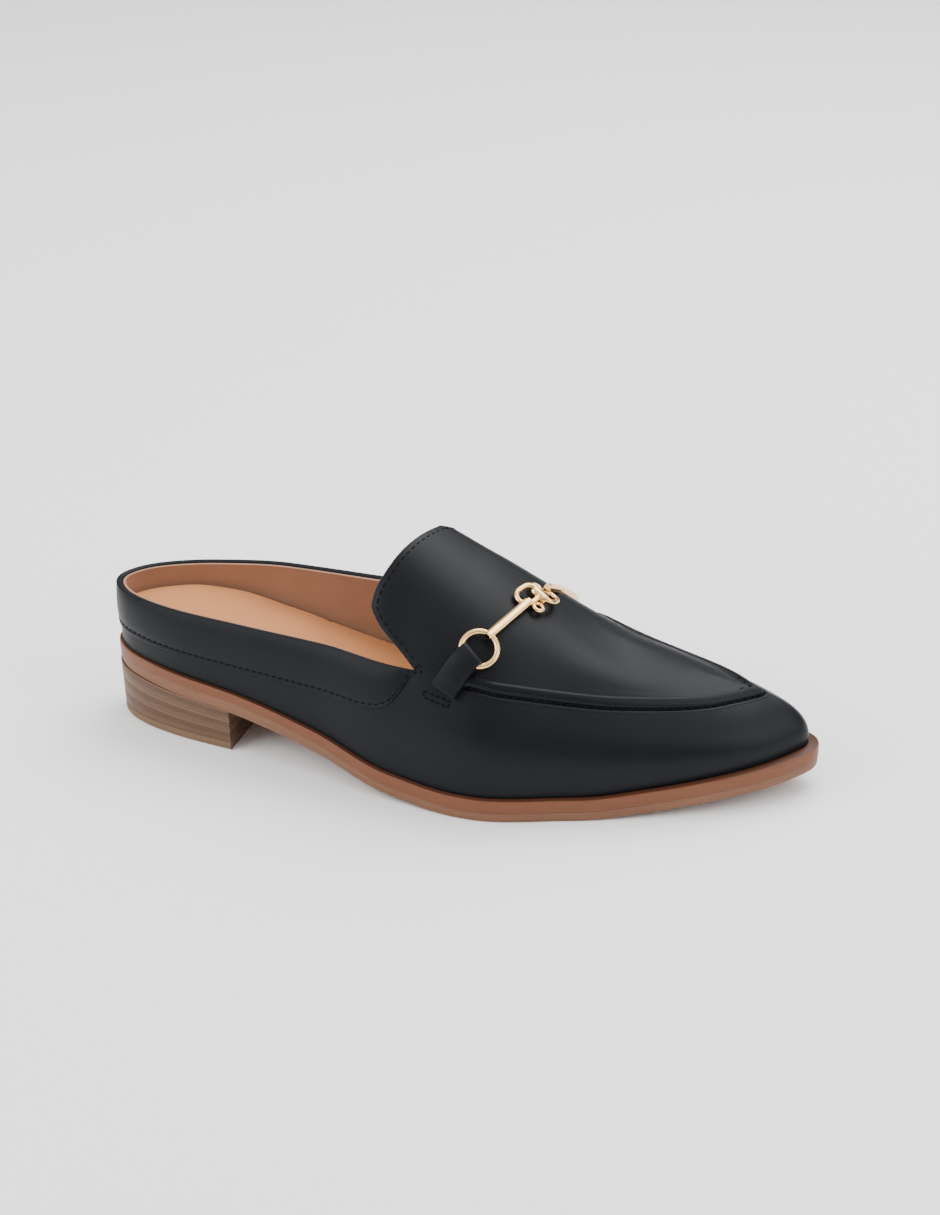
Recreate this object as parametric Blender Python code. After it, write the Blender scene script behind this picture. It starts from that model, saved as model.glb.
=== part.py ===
"""Slip-on loafer mule for the right foot: closed moccasin toe, low collar round the heel, stacked heel, and a bit
of metal links across the instep. X runs from the heel to the toe, Y to the inner (medial) side and Z up. The origin
is the middle of the heel's tread on the floor. Lengths in the tables are shares of the named sizes unless the
table's comment says millimetres."""

import math

import bmesh
import bpy
import numpy as np
from mathutils import Matrix, Vector

MM = 0.001

# Driving sizes, in millimetres
SOLE_LENGTH = 262.0
BALL_WIDTH = 87.0
TOE_SWING = 8.8
HEEL_HEIGHT = 20.6
TOE_SPRING = 8.2
OUTSOLE_THICKNESS = 3.7
OUTSOLE_AT_HEEL = 4.8
MIDSOLE_THICKNESS = 4.8
TOP_PIECE_THICKNESS = 3.2
SEAT_TRIM = 1.2
HEEL_LENGTH = 52.5
HEEL_INSET = 0.8
TOP_PIECE_INSET = 1.6
INSTEP_HEIGHT = 85.0
RIDGE_SIDE = 6.0
COLLAR_HEIGHT = 51.2
COLLAR_DROP = 1.9
NOTCH_X = 0.493 * SOLE_LENGTH
SPINE_END_X = 0.87 * SOLE_LENGTH
SPINE_START_X = 0.13 * SOLE_LENGTH
BAND_END_X = 0.481 * SOLE_LENGTH
WALL = 2.2
BAND_THICKNESS = 1.2
SEAM_RISE = 0.9
SEAM_HALF_WIDTH = 1.5
OUTSOLE_INSET = 0.3
FOOTBED_THICKNESS = 10.2
FOOTBED_TOE = 4.4
FOOTBED_CUP = 3.4
FOOTBED_SEAT = 1.8
FOOTBED_ROUND = 1.0
FOOTBED_CLEARANCE = 0.7
GAP = 0.3
HEEL_BREAST_X = HEEL_LENGTH + TOP_PIECE_INSET
HEEL_MIDDLE_X = (HEEL_BREAST_X + TOP_PIECE_INSET) / 2

# Bit and its tabs, in millimetres
TAB_WIDTH = 9.4
TAB_THICKNESS = 2.4
TAB_SWELL = 5.2
TAB_TOP = 1.6
RING_RADIUS = 6.2
RING_WIRE = 1.2
RING_LIFT = 2.9
BAR_WIDTH = 2.8
BAR_THICKNESS = 2.5
BAR_LIFT = 1.9
BAR_RISE_LATERAL = 2.2
BAR_RISE_MEDIAL = 1.2
BAR_RISE_LINK = 0.9
LINK_WIRE = 0.85
LINK_WIDTH = 6.4
LINK_LENGTH = 8.4
LINK_LIFT = 2.4
LINK_TILT = 18.0
BARREL_RADIUS = 1.55
BARREL_LENGTH = 6.4
EYE_RADIUS = 1.7
EYE_WIRE = 0.65
EYE_LIFT = 1.6

# Stations along the foot on each side: behind the notch of the collar, in front of it, and round the heel
REAR_STATIONS = 15
VAMP_STATIONS = 19
HEEL_STATIONS = 11


def table(*columns, rows):
    """Rows of numbers as a dict of named columns."""
    return dict(zip(columns, np.array(rows, float).T))


# Outline of the sole: share of its length, then reach to each side of the curved axis, as shares of the ball width
OUTLINE = table("along", "lateral", "medial", rows=[
    (0.00, 0.000, 0.000),
    (0.04, 0.176, 0.183),
    (0.12, 0.272, 0.284),
    (0.22, 0.331, 0.337),
    (0.34, 0.406, 0.334),
    (0.46, 0.522, 0.356),
    (0.58, 0.578, 0.418),
    (0.70, 0.487, 0.441),
    (0.80, 0.393, 0.398),
    (0.88, 0.307, 0.320),
    (0.94, 0.212, 0.226),
    (0.98, 0.109, 0.121),
    (1.00, 0.000, 0.000)])

# Underside of the outsole: share of its length, share of the heel height, share of the toe spring
UNDERSIDE = table("along", "heel", "toe", rows=[
    (0.00, 1.00, 0.00),
    (0.10, 0.90, 0.00),
    (0.22, 0.75, 0.00),
    (0.34, 0.45, 0.00),
    (0.46, 0.10, 0.00),
    (0.56, 0.00, 0.00),
    (0.72, 0.00, 0.00),
    (0.80, 0.00, 0.25),
    (0.90, 0.00, 0.66),
    (1.00, 0.00, 1.00)])

# Height the sections rise to, as a share of the instep height, and how full they are on each side: the exponent of
# the section's superellipse
RIDGE = table("along", "height", "lateral", "medial", rows=[
    (0.00, 1.36, 2.7, 2.7),
    (0.23, 1.34, 2.7, 2.6),
    (0.38, 1.16, 2.4, 2.2),
    (0.473, 1.000, 2.3, 2.0),
    (0.556, 0.868, 2.3, 2.0),
    (0.63, 0.745, 2.35, 2.05),
    (0.694, 0.646, 2.4, 2.15),
    (0.745, 0.575, 2.5, 2.3),
    (0.829, 0.484, 2.6, 2.5),
    (0.916, 0.432, 2.5, 2.45),
    (0.97, 0.416, 2.3, 2.3),
    (1.00, 0.408, 2.25, 2.25)])

# Feather line, where the upper meets the sole: share of the sole's length, inset from the sole's edge and outward
# bulge of the wall over it, both in millimetres
FEATHER = table("along", "inset", "bulge", rows=[
    (0.00, 2.4, 0.3),
    (0.08, 1.8, 0.6),
    (0.20, 1.4, 1.0),
    (0.45, 1.6, 1.2),
    (0.65, 1.8, 2.0),
    (0.90, 2.6, 1.3),
    (1.00, 3.8, 0.5)])

# Moccasin seam: share of the way from the notch to the toe, and how far out from the spine it runs, as a share
SEAM = table("along", "out", rows=[
    (0.00, 0.890),
    (0.06, 0.884),
    (0.11, 0.852),
    (0.25, 0.817),
    (0.41, 0.788),
    (0.57, 0.716),
    (0.73, 0.592),
    (0.82, 0.535),
    (1.00, 0.462)])

# Back edge of the vamp: share of the way from the notch up to the ridge, and setback from the notch on each side as
# a share of the sole's length
EAR = table("up", "lateral", "medial", rows=[
    (0.00, 0.000, 0.000),
    (0.057, 0.0256, 0.014),
    (0.117, 0.0610, 0.030),
    (0.178, 0.0733, 0.036),
    (0.284, 0.0698, 0.034),
    (0.386, 0.0626, 0.028),
    (0.592, 0.0485, 0.016),
    (0.857, 0.0300, 0.013),
    (0.94, 0.0240, 0.015),
    (1.00, 0.0190, 0.019)])
EAR_REACH = 0.25

# Collar band: share of the way from the heel's back to the notch, and how far it hangs below the collar, as a share
# of the collar's height
BAND = table("along", "drop", rows=[
    (0.00, 0.300),
    (0.30, 0.315),
    (0.80, 0.345),
    (0.90, 0.335),
    (0.97, 0.240),
    (1.00, 0.200)])

# Middle of each piece of the bit in plan: share of the sole's length, and of the ball width to the inner side
BIT = {
    "ring_lateral": (0.5727, -0.3786),
    "centre": (0.6193, -0.0471),
    "ring_medial": (0.640, 0.352)}
TAB_FOOT = {
    "lateral": (0.536, -0.4885),
    "medial": (0.603, 0.408)}

# Room under each tab in millimetres: the inner one lies over the end of the moccasin seam
TAB_CLEARANCE = {"lateral": 0.5, "medial": 0.95}


def follow(columns, name, at, key="along"):
    """Monotone cubic through a table's points, in the manner of Fritsch and Carlson."""
    x, y = columns[key], columns[name]
    step = np.diff(x)
    rise = np.diff(y) / step
    slope = np.zeros_like(y)
    same = rise[:-1] * rise[1:] > 0
    near, far = 2 * step[1:] + step[:-1], step[1:] + 2 * step[:-1]
    safe = np.where(rise == 0, 1.0, rise)
    mean = (near + far) / (near / safe[:-1] + far / safe[1:])
    slope[1:-1] = np.where(same, mean, 0.0)
    slope[0], slope[-1] = rise[0], rise[-1]
    at = np.clip(np.asarray(at, float), x[0], x[-1])
    k = np.clip(np.searchsorted(x, at, side="right") - 1, 0, len(step) - 1)
    t = (at - x[k]) / step[k]
    low = y[k] * (1 + 2 * t) * (1 - t) ** 2 + slope[k] * step[k] * t * (1 - t) ** 2
    high = y[k + 1] * t * t * (3 - 2 * t) - slope[k + 1] * step[k] * t * t * (1 - t)
    return low + high


def ease(low, high, at):
    """Smooth step from 0 at low to 1 at high."""
    t = np.clip((np.asarray(at, float) - low) / (high - low), 0, 1)
    return t * t * (3 - 2 * t)


def unit(v):
    return v / np.linalg.norm(v, axis=-1, keepdims=True)


# Lengthwise sizes of the sole, by distance from its back end

def axis_y(x):
    """The sole's middle line swings to the inner side in front of the ball."""
    share = np.clip((x / SOLE_LENGTH - 0.6) / 0.4, 0, 1)
    return TOE_SWING * share**2


def underside(x):
    share = x / SOLE_LENGTH
    return HEEL_HEIGHT * follow(UNDERSIDE, "heel", share) + TOE_SPRING * follow(UNDERSIDE, "toe", share)


def sole_top(x):
    return underside(x) + OUTSOLE_THICKNESS + MIDSOLE_THICKNESS


def parting(x):
    """Height at which the outsole ends and the midsole starts. The outsole is thicker at the heel."""
    heel = 1 - ease(0.2, 0.5, x / SOLE_LENGTH)
    return underside(x) + OUTSOLE_THICKNESS + (OUTSOLE_AT_HEEL - OUTSOLE_THICKNESS) * heel


def ceiling(x):
    return INSTEP_HEIGHT * follow(RIDGE, "height", x / SOLE_LENGTH)


# A point round the sole is named by turn: -1 to 1 on the outer side from the heel's back to the toe's tip, with 0 at
# the collar's notch, and 1 to 3 back along the inner side

def fold(turn):
    """Turn as a place along the foot from -1 to 1, and the side: -1 outer, 1 inner."""
    turn = np.mod(np.asarray(turn, float) + 1, 4) - 1
    inner = turn > 1
    return np.where(inner, 2 - turn, turn), np.where(inner, 1.0, -1.0)


def station_x(place):
    return NOTCH_X + np.where(place > 0, SOLE_LENGTH - NOTCH_X, NOTCH_X) * np.sin(place * np.pi / 2)


def place_at(x):
    """Place behind the notch of a distance from the back end."""
    return math.asin(x / NOTCH_X - 1) / (math.pi / 2)


def sole_edge(turn):
    """Plan point of the sole's edge. The square of the reach is what the table's curve follows, so both ends come
    out round."""
    place, side = fold(turn)
    x = station_x(place)
    squares = {"along": OUTLINE["along"], "lateral": OUTLINE["lateral"] ** 2, "medial": OUTLINE["medial"] ** 2}
    lateral = follow(squares, "lateral", x / SOLE_LENGTH)
    medial = follow(squares, "medial", x / SOLE_LENGTH)
    reach = BALL_WIDTH * np.sqrt(np.maximum(np.where(side < 0, lateral, medial), 0))
    return np.stack([x, axis_y(x) + side * reach], -1)


def outward(turn):
    """The sole edge's normal in plan, pointing away from the foot."""
    run = unit(sole_edge(turn + 0.01) - sole_edge(turn - 0.01))
    return np.stack([run[..., 1], -run[..., 0]], -1)


def inset_edge(turn, inset):
    return sole_edge(turn) - outward(turn) * np.asarray(inset, float)[..., None]


def feather(turn):
    place = fold(turn)[0]
    return inset_edge(turn, follow(FEATHER, "inset", station_x(place) / SOLE_LENGTH))


def spine(place):
    """Where sections end on the ridge. They fan round the toe and the heel, so the spine is shorter than the sole."""
    reach = np.where(place > 0, SPINE_END_X - NOTCH_X, NOTCH_X - SPINE_START_X)
    x = NOTCH_X + np.sign(place) * reach * (1 - (1 - np.abs(place)) ** 1.6)
    y = RIDGE_SIDE * ease(SPINE_START_X, NOTCH_X, x)
    return np.stack([x, y], -1)


def fullness(turn):
    place, side = fold(turn)
    share = station_x(place) / SOLE_LENGTH
    return np.where(side < 0, follow(RIDGE, "lateral", share), follow(RIDGE, "medial", share))


def collar_z(x):
    return COLLAR_HEIGHT - COLLAR_DROP * ease(0.36 * SOLE_LENGTH, NOTCH_X, x)


def angle_at(turn, z):
    """Section angle at which the wall reaches height z: 0 at the feather line, a right angle on the ridge."""
    x = feather(turn)[..., 0]
    base = sole_top(x) + GAP
    share = np.clip((z - base) / (ceiling(x) - base), 0, 1)
    return np.arcsin(share ** (fullness(turn) / 2))


def top_angle(turn):
    """Section angle of the collar behind the notch, and of the moccasin seam in front of it."""
    place = fold(turn)[0]
    full = fullness(turn)
    collar = angle_at(turn, collar_z(feather(turn)[..., 0]))
    seam = np.arccos(follow(SEAM, "out", np.maximum(place, 0)) ** (full / 2))
    return np.where(place <= 0, collar, seam + (collar - seam) * (1 - ease(0.0, 0.16, place)))


def section(turn, angle):
    """Point on the upper's outer face. In plan it lies between the spine and the feather line, at a share u of the
    way out, moved out by the wall's bulge. Its height is a share v of the way from the sole up to the ceiling, and
    u and v follow the superellipse of the section's fullness."""
    place = fold(turn)[0]
    full = fullness(turn)
    top = top_angle(turn)
    u = np.maximum(np.cos(angle), 0) ** (2 / full)
    v = np.sin(angle) ** (2 / full)
    foot, ridge = feather(turn), spine(place)
    swell = np.sin(np.pi * np.clip(v / np.sin(top) ** (2 / full), 0, 1))
    bulge = follow(FEATHER, "bulge", station_x(place) / SOLE_LENGTH) * swell
    plan = ridge + (foot - ridge) * u[..., None] + outward(turn) * bulge[..., None]
    base = sole_top(foot[..., 0]) + GAP
    z = base + (ceiling(plan[..., 0]) - base) * v
    return np.concatenate([plan, z[..., None]], -1)


def section_normal(turn, angle):
    """Normal of the outer face. Beside the spine's end a section runs almost along the spine, so there the cross
    product's sign is set by the ridge facing up."""
    step = 0.01
    low, high = np.maximum(angle - step, 0), np.minimum(angle + step, np.pi / 2)
    across = section(turn, high) - section(turn, low)
    safe = np.minimum(angle, np.pi / 2 - step)
    along = section(turn + step, safe) - section(turn - step, safe)
    normal = unit(np.cross(along, across))
    upside_down = (angle > 0.7) & (normal[..., 2] < 0)
    return np.where(upside_down[..., None], -normal, normal)


def setback(turn, up):
    """Turn moved back at the vamp's rear edge so that the edge follows the ear's table. The move fades out over the
    ear's reach."""
    place, side = fold(turn)
    full = fullness(turn)
    top = top_angle(turn)
    out = np.maximum(np.cos(top + (np.pi / 2 - top) * up), 0) ** (2 / full)
    slope = out * SOLE_LENGTH * np.pi / 4 + (1 - out) * (SPINE_END_X - NOTCH_X) * 1.6
    back = np.where(side < 0, follow(EAR, "lateral", up, key="up"), follow(EAR, "medial", up, key="up"))
    move = SOLE_LENGTH * back / slope
    fade = np.clip(1 - np.maximum(place, 0) / EAR_REACH, 0, 1) ** 2
    return turn + side * move * fade


def on_upper(x, y):
    """Point and normal of the upper's outer face above a plan point of the vamp, by Newton steps from a grid."""
    target = np.array([x, y])
    turns = np.linspace(0.02, 1.98, 60)
    angles = np.linspace(0.2, np.pi / 2 - 0.02, 40)
    turn, angle = np.meshgrid(turns, angles, indexing="ij")
    apart = np.linalg.norm(section(turn, angle)[..., :2] - target, axis=-1)
    best = np.unravel_index(np.argmin(apart), apart.shape)
    t, a = turn[best], angle[best]
    for _ in range(12):
        here = section(np.array(t), np.array(a))[:2]
        by_t = (section(np.array(t + 0.002), np.array(a))[:2] - here) / 0.002
        by_a = (section(np.array(t), np.array(a - 0.002))[:2] - here) / -0.002
        move = np.linalg.lstsq(np.stack([by_t, by_a], 1), target - here, rcond=None)[0]
        move = np.clip(move, -0.1, 0.1)
        t = float(np.clip(t + move[0], 0.01, 1.99))
        a = float(np.clip(a + move[1], 0.1, np.pi / 2 - 0.003))
    return section(np.array(t), np.array(a)), section_normal(np.array(t), np.array(a))


# Meshes

def add_piece(name, points, faces, collection, material):
    """Mesh object from points in millimetres, with its faces turned outwards and flat faces that share an edge
    shaded flat."""
    mesh = bpy.data.meshes.new(name)
    origin = np.array([HEEL_MIDDLE_X, 0.0, 0.0])
    mesh.from_pydata([tuple(p) for p in (np.asarray(points) - origin) * MM], [], [tuple(f) for f in faces])
    body = bmesh.new()
    body.from_mesh(mesh)
    bmesh.ops.recalc_face_normals(body, faces=body.faces)
    if body.calc_volume(signed=True) < 0:
        bmesh.ops.reverse_faces(body, faces=body.faces)
    body.to_mesh(mesh)
    body.free()
    mesh.materials.append(material)
    piece = bpy.data.objects.new(name, mesh)
    collection.objects.link(piece)
    return piece


def strip(first, second, closed=True):
    """Quads between two rows of vertex numbers."""
    n = len(first) if closed else len(first) - 1
    m = len(first)
    return [(first[i], first[(i + 1) % m], second[(i + 1) % m], second[i]) for i in range(n)]


def loop_turns(places):
    """Turns right round the foot: the outer side forwards over these places, and the inner side back."""
    return np.concatenate([places, (2 - places[1:-1])[::-1]])


def ladder(stations):
    """Faces across a loop, from each outer vertex to the inner one at the same place."""
    inner = [0] + [2 * stations - i for i in range(1, stations)] + [stations]
    faces = [(0, 1, inner[1])]
    for i in range(1, stations - 1):
        faces.append((i, i + 1, inner[i + 1], inner[i]))
    faces.append((stations - 1, stations, inner[stations - 1]))
    return faces


def all_places():
    """Places from the heel's back to the toe, with two close together where the band ends."""
    rear = np.linspace(-1, 0, REAR_STATIONS + 1)
    front = np.linspace(0, 1, VAMP_STATIONS + 1)[1:]
    band_end = place_at(BAND_END_X)
    return np.sort(np.concatenate([rear, front, [band_end, band_end + 0.006]]))


def seat_trim(turns):
    """How far the edge of the sole and heel is trimmed in at the back, where the upper hangs over it."""
    share = station_x(fold(turns)[0]) / SOLE_LENGTH
    return SEAT_TRIM * (1 - ease(0.0, 0.16, share))


def slab(name, low, high, inset, collection, material):
    """Layer of the sole between two heights, given as functions of the distance from the back end."""
    places = all_places()
    turns = loop_turns(places)
    plan = inset_edge(turns, inset + seat_trim(turns))
    under = np.column_stack([plan, low(plan[:, 0])])
    over = np.column_stack([plan, high(plan[:, 0])])
    count, stations = len(turns), len(places) - 1
    rungs = ladder(stations)
    faces = strip(range(count), range(count, 2 * count))
    faces += [f[::-1] for f in rungs]
    faces += [tuple(i + count for i in f) for f in rungs]
    return add_piece(name, np.concatenate([under, over]), faces, collection, material)


def heel_block(name, low, high, inset_low, inset_high, collection, material):
    """Layer of the heel: the sole's outline round the back, closed by a straight breast in front."""
    end = place_at(HEEL_BREAST_X)
    places = np.linspace(-1, end, HEEL_STATIONS + 1)
    turns = np.concatenate([places, (2 - places[1:])[::-1]])

    def ring(inset):
        plan = inset_edge(turns, np.maximum(inset, seat_trim(turns)))
        plan[HEEL_STATIONS: HEEL_STATIONS + 2, 0] = HEEL_BREAST_X
        return plan

    under, over = ring(inset_low), ring(inset_high)
    points = np.concatenate([
        np.column_stack([under, low(under[:, 0])]),
        np.column_stack([over, high(over[:, 0])])])
    count = len(turns)
    inner = [0] + [count - i for i in range(1, HEEL_STATIONS + 1)]
    rungs = [(0, 1, inner[1])] + [(i, i + 1, inner[i + 1], inner[i]) for i in range(1, HEEL_STATIONS)]
    faces = strip(range(count), range(count, 2 * count))
    faces += [f[::-1] for f in rungs]
    faces += [tuple(i + count for i in f) for f in rungs]
    return add_piece(name, points, faces, collection, material)


def upper_rows(turns):
    """Section angle and stand-off of each row of the upper at each turn. The first nine rows run from the feather
    line to the collar or the moccasin seam and the rest on to the ridge."""
    place = fold(turns)[0]
    x = station_x(place)
    top = top_angle(turns)
    collar = collar_z(x)
    drop = COLLAR_HEIGHT * follow(BAND, "drop", 1 + np.minimum(place, 0))
    edge = np.minimum(angle_at(turns, collar - drop), 0.86 * top)
    band = BAND_THICKNESS * (x <= BAND_END_X + 0.01)
    slope = np.linalg.norm(section(turns, top) - section(turns, 0.9 * top), axis=1) / (0.1 * top)
    beside = SEAM_HALF_WIDTH / slope
    seam = SEAM_RISE * ease(0.06, 0.14, place)
    lip = np.where(place < 0, 0.04 * top, beside)
    low = [
        (0.0 * top, 0 * band),
        (0.3 * edge, 0 * band),
        (0.65 * edge, 0 * band),
        (0.94 * edge, 0 * band),
        (edge, band),
        (edge + (top - lip - edge) * 0.35, band),
        (edge + (top - lip - edge) * 0.70, band),
        (top - lip, band),
        (top, band * 0.6 + seam)]
    high = [(top + beside, 0 * band)]
    shares = (0.14, 0.26, 0.40, 0.55, 0.70, 0.85, 1.0)
    rest = np.pi / 2 - top - beside
    high += [(top + beside + rest * h, 0 * band) for h in shares]
    return low, high


def upper(collection, material):
    """Hollow shell. Rows of the outer face climb from the feather line to the collar and, in front of the notch, on
    to the ridge where the two sides meet. The inner face is the same grid moved in by the wall."""
    places = all_places()
    turns = loop_turns(places)
    low, high = upper_rows(turns)
    front = np.flatnonzero(fold(turns)[0] >= -1e-9)
    count = len(turns)
    outer, inner, index = [], [], []

    def add_row(angle, out, columns, shift):
        turn = turns[columns]
        if shift:
            top = top_angle(turn)
            up = (angle[columns] - top) / (np.pi / 2 - top)
            turn = setback(turn, np.clip(up, 0, 1))
        at = section(turn, angle[columns])
        normal = section_normal(turn, angle[columns])
        start = sum(len(row) for row in outer)
        outer.append(at + normal * out[columns, None])
        inner.append(at - normal * WALL)
        numbers = np.full(count, -1)
        numbers[columns] = start + np.arange(len(columns))
        index.append(numbers)

    for angle, out in low:
        add_row(angle, out, np.arange(count), False)
    for angle, out in high[:-1]:
        add_row(angle, out, front, True)
    ridge = front[: len(front) // 2 + 1]
    add_row(high[-1][0], high[-1][1], ridge, True)
    numbers = index[-1]
    for column in front[len(front) // 2 + 1:]:
        twin = (2 * (len(places) - 1) - column) % count
        numbers[column] = numbers[twin]
    outer, inner = np.concatenate(outer), np.concatenate(inner)
    inner[:count, 2] = outer[:count, 2]
    shell = []
    for row in range(len(index) - 1):
        below, above = index[row], index[row + 1]
        for i in range(count):
            j = (i + 1) % count
            if above[i] < 0 or above[j] < 0:
                continue
            quad = [below[i], below[j], above[j], above[i]]
            shell.append([v for k, v in enumerate(quad) if v != quad[k - 1]])
    total = len(outer)
    faces = [tuple(f) for f in shell] + [tuple(total + v for v in f[::-1]) for f in shell]
    faces += [(i, (i + 1) % count, total + (i + 1) % count, total + i) for i in range(count)]
    notch_out = front[0]
    notch_in = front[-1]
    top_row = index[len(low) - 1]
    rim = [top_row[(notch_in + k) % count] for k in range((notch_out - notch_in) % count + 1)]
    rise = [index[row][notch_out] for row in range(len(low), len(index))]
    fall = [index[row][notch_in] for row in range(len(index) - 2, len(low) - 1, -1)]
    rim = rim + rise + fall
    points = np.concatenate([outer, inner])
    middle = (points[rim] + points[np.array(rim) + total]) / 2
    across = unit(points[rim] - points[np.array(rim) + total])
    run = unit(np.roll(points[rim], -1, 0) - np.roll(points[rim], 1, 0))
    crest = middle + np.cross(run, across) * WALL * 0.23
    crest_ids = list(range(2 * total, 2 * total + len(rim)))
    faces += strip(rim, crest_ids)
    faces += strip(crest_ids, [v + total for v in rim])
    return add_piece("upper", np.concatenate([points, crest]), faces, collection, material)


def insole(collection, material):
    """Moulded footbed on the sole's top, cupped towards its edge, and clear of the upper's wall."""
    places = all_places()
    turns = loop_turns(places)
    place = fold(turns)[0]
    inset = follow(FEATHER, "inset", station_x(place) / SOLE_LENGTH) + WALL + FOOTBED_CLEARANCE
    edge = inset_edge(turns, inset)
    reach = 0.9 * np.where(place > 0, SPINE_END_X - NOTCH_X, NOTCH_X - SPINE_START_X)
    x = NOTCH_X + np.sign(place) * reach * (1 - (1 - np.abs(place)) ** 1.6)
    centre = np.stack([x, 0.5 * axis_y(x)], -1)
    rows = []
    for out in (1.0, 0.96, 0.75, 0.45, 0.0):
        plan = centre + (edge - centre) * out
        share = plan[:, 0] / SOLE_LENGTH
        thick = FOOTBED_TOE + (FOOTBED_THICKNESS - FOOTBED_TOE) * (1 - ease(0.40, 0.85, share))
        cup = (FOOTBED_CUP * (1 - ease(0.45, 0.80, share)) + FOOTBED_SEAT * (1 - ease(0.17, 0.36, share))) * out**2
        soft = FOOTBED_ROUND if out == 1.0 else 0.0
        rows.append(np.column_stack([plan, sole_top(plan[:, 0]) + GAP + thick + cup - soft]))
    bottom = np.column_stack([edge, sole_top(edge[:, 0]) + GAP])
    count, stations = len(turns), len(places) - 1
    points = [bottom] + rows[:-1]
    spine_row = rows[-1][: stations + 1]
    faces = [f[::-1] for f in ladder(stations)]
    for k in range(len(points) - 1):
        faces += strip(range(k * count, (k + 1) * count), range((k + 1) * count, (k + 2) * count))
    last = (len(points) - 1) * count
    middle = len(points) * count
    on_spine = [middle + (i if i <= stations else count - i) for i in range(count)]
    for i in range(count):
        j = (i + 1) % count
        quad = [last + i, last + j, on_spine[j], on_spine[i]]
        faces.append(tuple(v for k, v in enumerate(quad) if v != quad[k - 1]))
    return add_piece("insole", np.concatenate(points + [spine_row]), faces, collection, material)


def frame_at(normal, along):
    """Right-handed axes with the last along the normal and the first near along."""
    normal = unit(normal)
    first = unit(along - normal * np.dot(along, normal))
    return first, np.cross(normal, first), normal


def placed(centre, axes):
    """Matrix that stands a thing at a point in millimetres, with its own X, Y and Z along these axes."""
    origin = np.array([HEEL_MIDDLE_X, 0.0, 0.0])
    matrix = Matrix([Vector(axis) for axis in axes]).transposed().to_4x4()
    matrix.translation = Vector((np.asarray(centre) - origin) * MM)
    return matrix


def adopt(name, mesh, matrix, collection, material):
    """Object of this mesh, moved into place and with its one material."""
    mesh.transform(matrix)
    mesh.name = name
    mesh.materials.clear()
    mesh.materials.append(material)
    piece = bpy.data.objects.new(name, mesh)
    collection.objects.link(piece)
    return piece


def add_ring(name, centre, axes, radius, wire, collection, material):
    """Round wire ring."""
    bpy.ops.mesh.primitive_torus_add(
        major_radius=radius * MM, minor_radius=wire * MM, major_segments=36, minor_segments=8)
    torus = bpy.context.object
    mesh = torus.data.copy()
    bpy.data.objects.remove(torus, do_unlink=True)
    return adopt(name, mesh, placed(centre, axes), collection, material)


def add_link(name, centre, axes, length, width, wire, collection, material):
    """Oval wire link: two half rounds joined by straights along the first axis."""
    curve = bpy.data.curves.new(name, "CURVE")
    curve.dimensions = "3D"
    curve.bevel_depth = wire * MM
    curve.bevel_resolution = 2
    spline = curve.splines.new("POLY")
    count = 24
    spline.points.add(count - 1)
    pull = (length - width) / 2
    for k in range(count):
        a = 2 * math.pi * (k + 0.5) / count
        x = width / 2 * math.cos(a) + math.copysign(pull, math.cos(a))
        spline.points[k].co = (x * MM, width / 2 * math.sin(a) * MM, 0, 1)
    spline.use_cyclic_u = True
    wire_object = bpy.data.objects.new(name, curve)
    collection.objects.link(wire_object)
    bpy.context.view_layer.update()
    mesh = bpy.data.meshes.new_from_object(wire_object.evaluated_get(bpy.context.evaluated_depsgraph_get()))
    bpy.data.objects.remove(wire_object, do_unlink=True)
    bpy.data.curves.remove(curve)
    return adopt(name, mesh, placed(centre, axes), collection, material)


def add_barrel(name, centre, axes, collection, material):
    """Barrel along the second axis, with rounded rims."""
    bpy.ops.mesh.primitive_cylinder_add(vertices=16, radius=BARREL_RADIUS * MM, depth=BARREL_LENGTH * MM)
    barrel = bpy.context.object
    mesh = barrel.data.copy()
    bpy.data.objects.remove(barrel, do_unlink=True)
    body = bmesh.new()
    body.from_mesh(mesh)
    rims = [e for e in body.edges if abs(e.verts[0].co.z - e.verts[1].co.z) < 1e-6]
    bmesh.ops.bevel(body, geom=rims, offset=0.37 * BARREL_RADIUS * MM, segments=2, profile=0.6, affect="EDGES")
    body.to_mesh(mesh)
    body.free()
    return adopt(name, mesh, placed(centre, (axes[2], axes[0], axes[1])), collection, material)


def swept_mesh(path, sides, normals, widths, heights, profile):
    """Solid bar: the profile, points of width and height shares, carried along the path with flat ends."""
    shape = np.array(profile, float)
    points = (
        path[:, None, :]
        + sides[:, None, :] * shape[None, :, :1] * widths[:, None, None]
        + normals[:, None, :] * shape[None, :, 1:] * heights[:, None, None])
    n, m = points.shape[:2]
    ids = np.arange(n * m).reshape(n, m)
    faces = [tuple(ids[0][::-1]), tuple(ids[-1])]
    for i in range(n - 1):
        faces += strip(list(ids[i]), list(ids[i + 1]))
    return points.reshape(-1, 3), faces


def combine(piece, other, operation):
    """Boolean of another body into this piece, applied."""
    modifier = piece.modifiers.new("cut", "BOOLEAN")
    modifier.operation = operation
    modifier.solver = "EXACT"
    modifier.object = other
    bpy.context.view_layer.update()
    result = piece.evaluated_get(bpy.context.evaluated_depsgraph_get())
    mesh = bpy.data.meshes.new_from_object(result)
    piece.modifiers.clear()
    piece.data = mesh


def over_path(start, end, count, lift):
    """Points in a straight plan line over the upper, with their normals and the run between them."""
    shares = np.linspace(0, 1, count)
    plan = np.array(start) + (np.array(end) - np.array(start)) * shares[:, None]
    found = [on_upper(*p) for p in plan]
    normals = np.array([n for _, n in found])
    path = np.array([p for p, _ in found]) + normals * np.asarray(lift)[..., None]
    run = unit(np.gradient(path, axis=0))
    sides = unit(np.cross(normals, run))
    return path, sides, np.cross(run, sides), run


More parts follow.
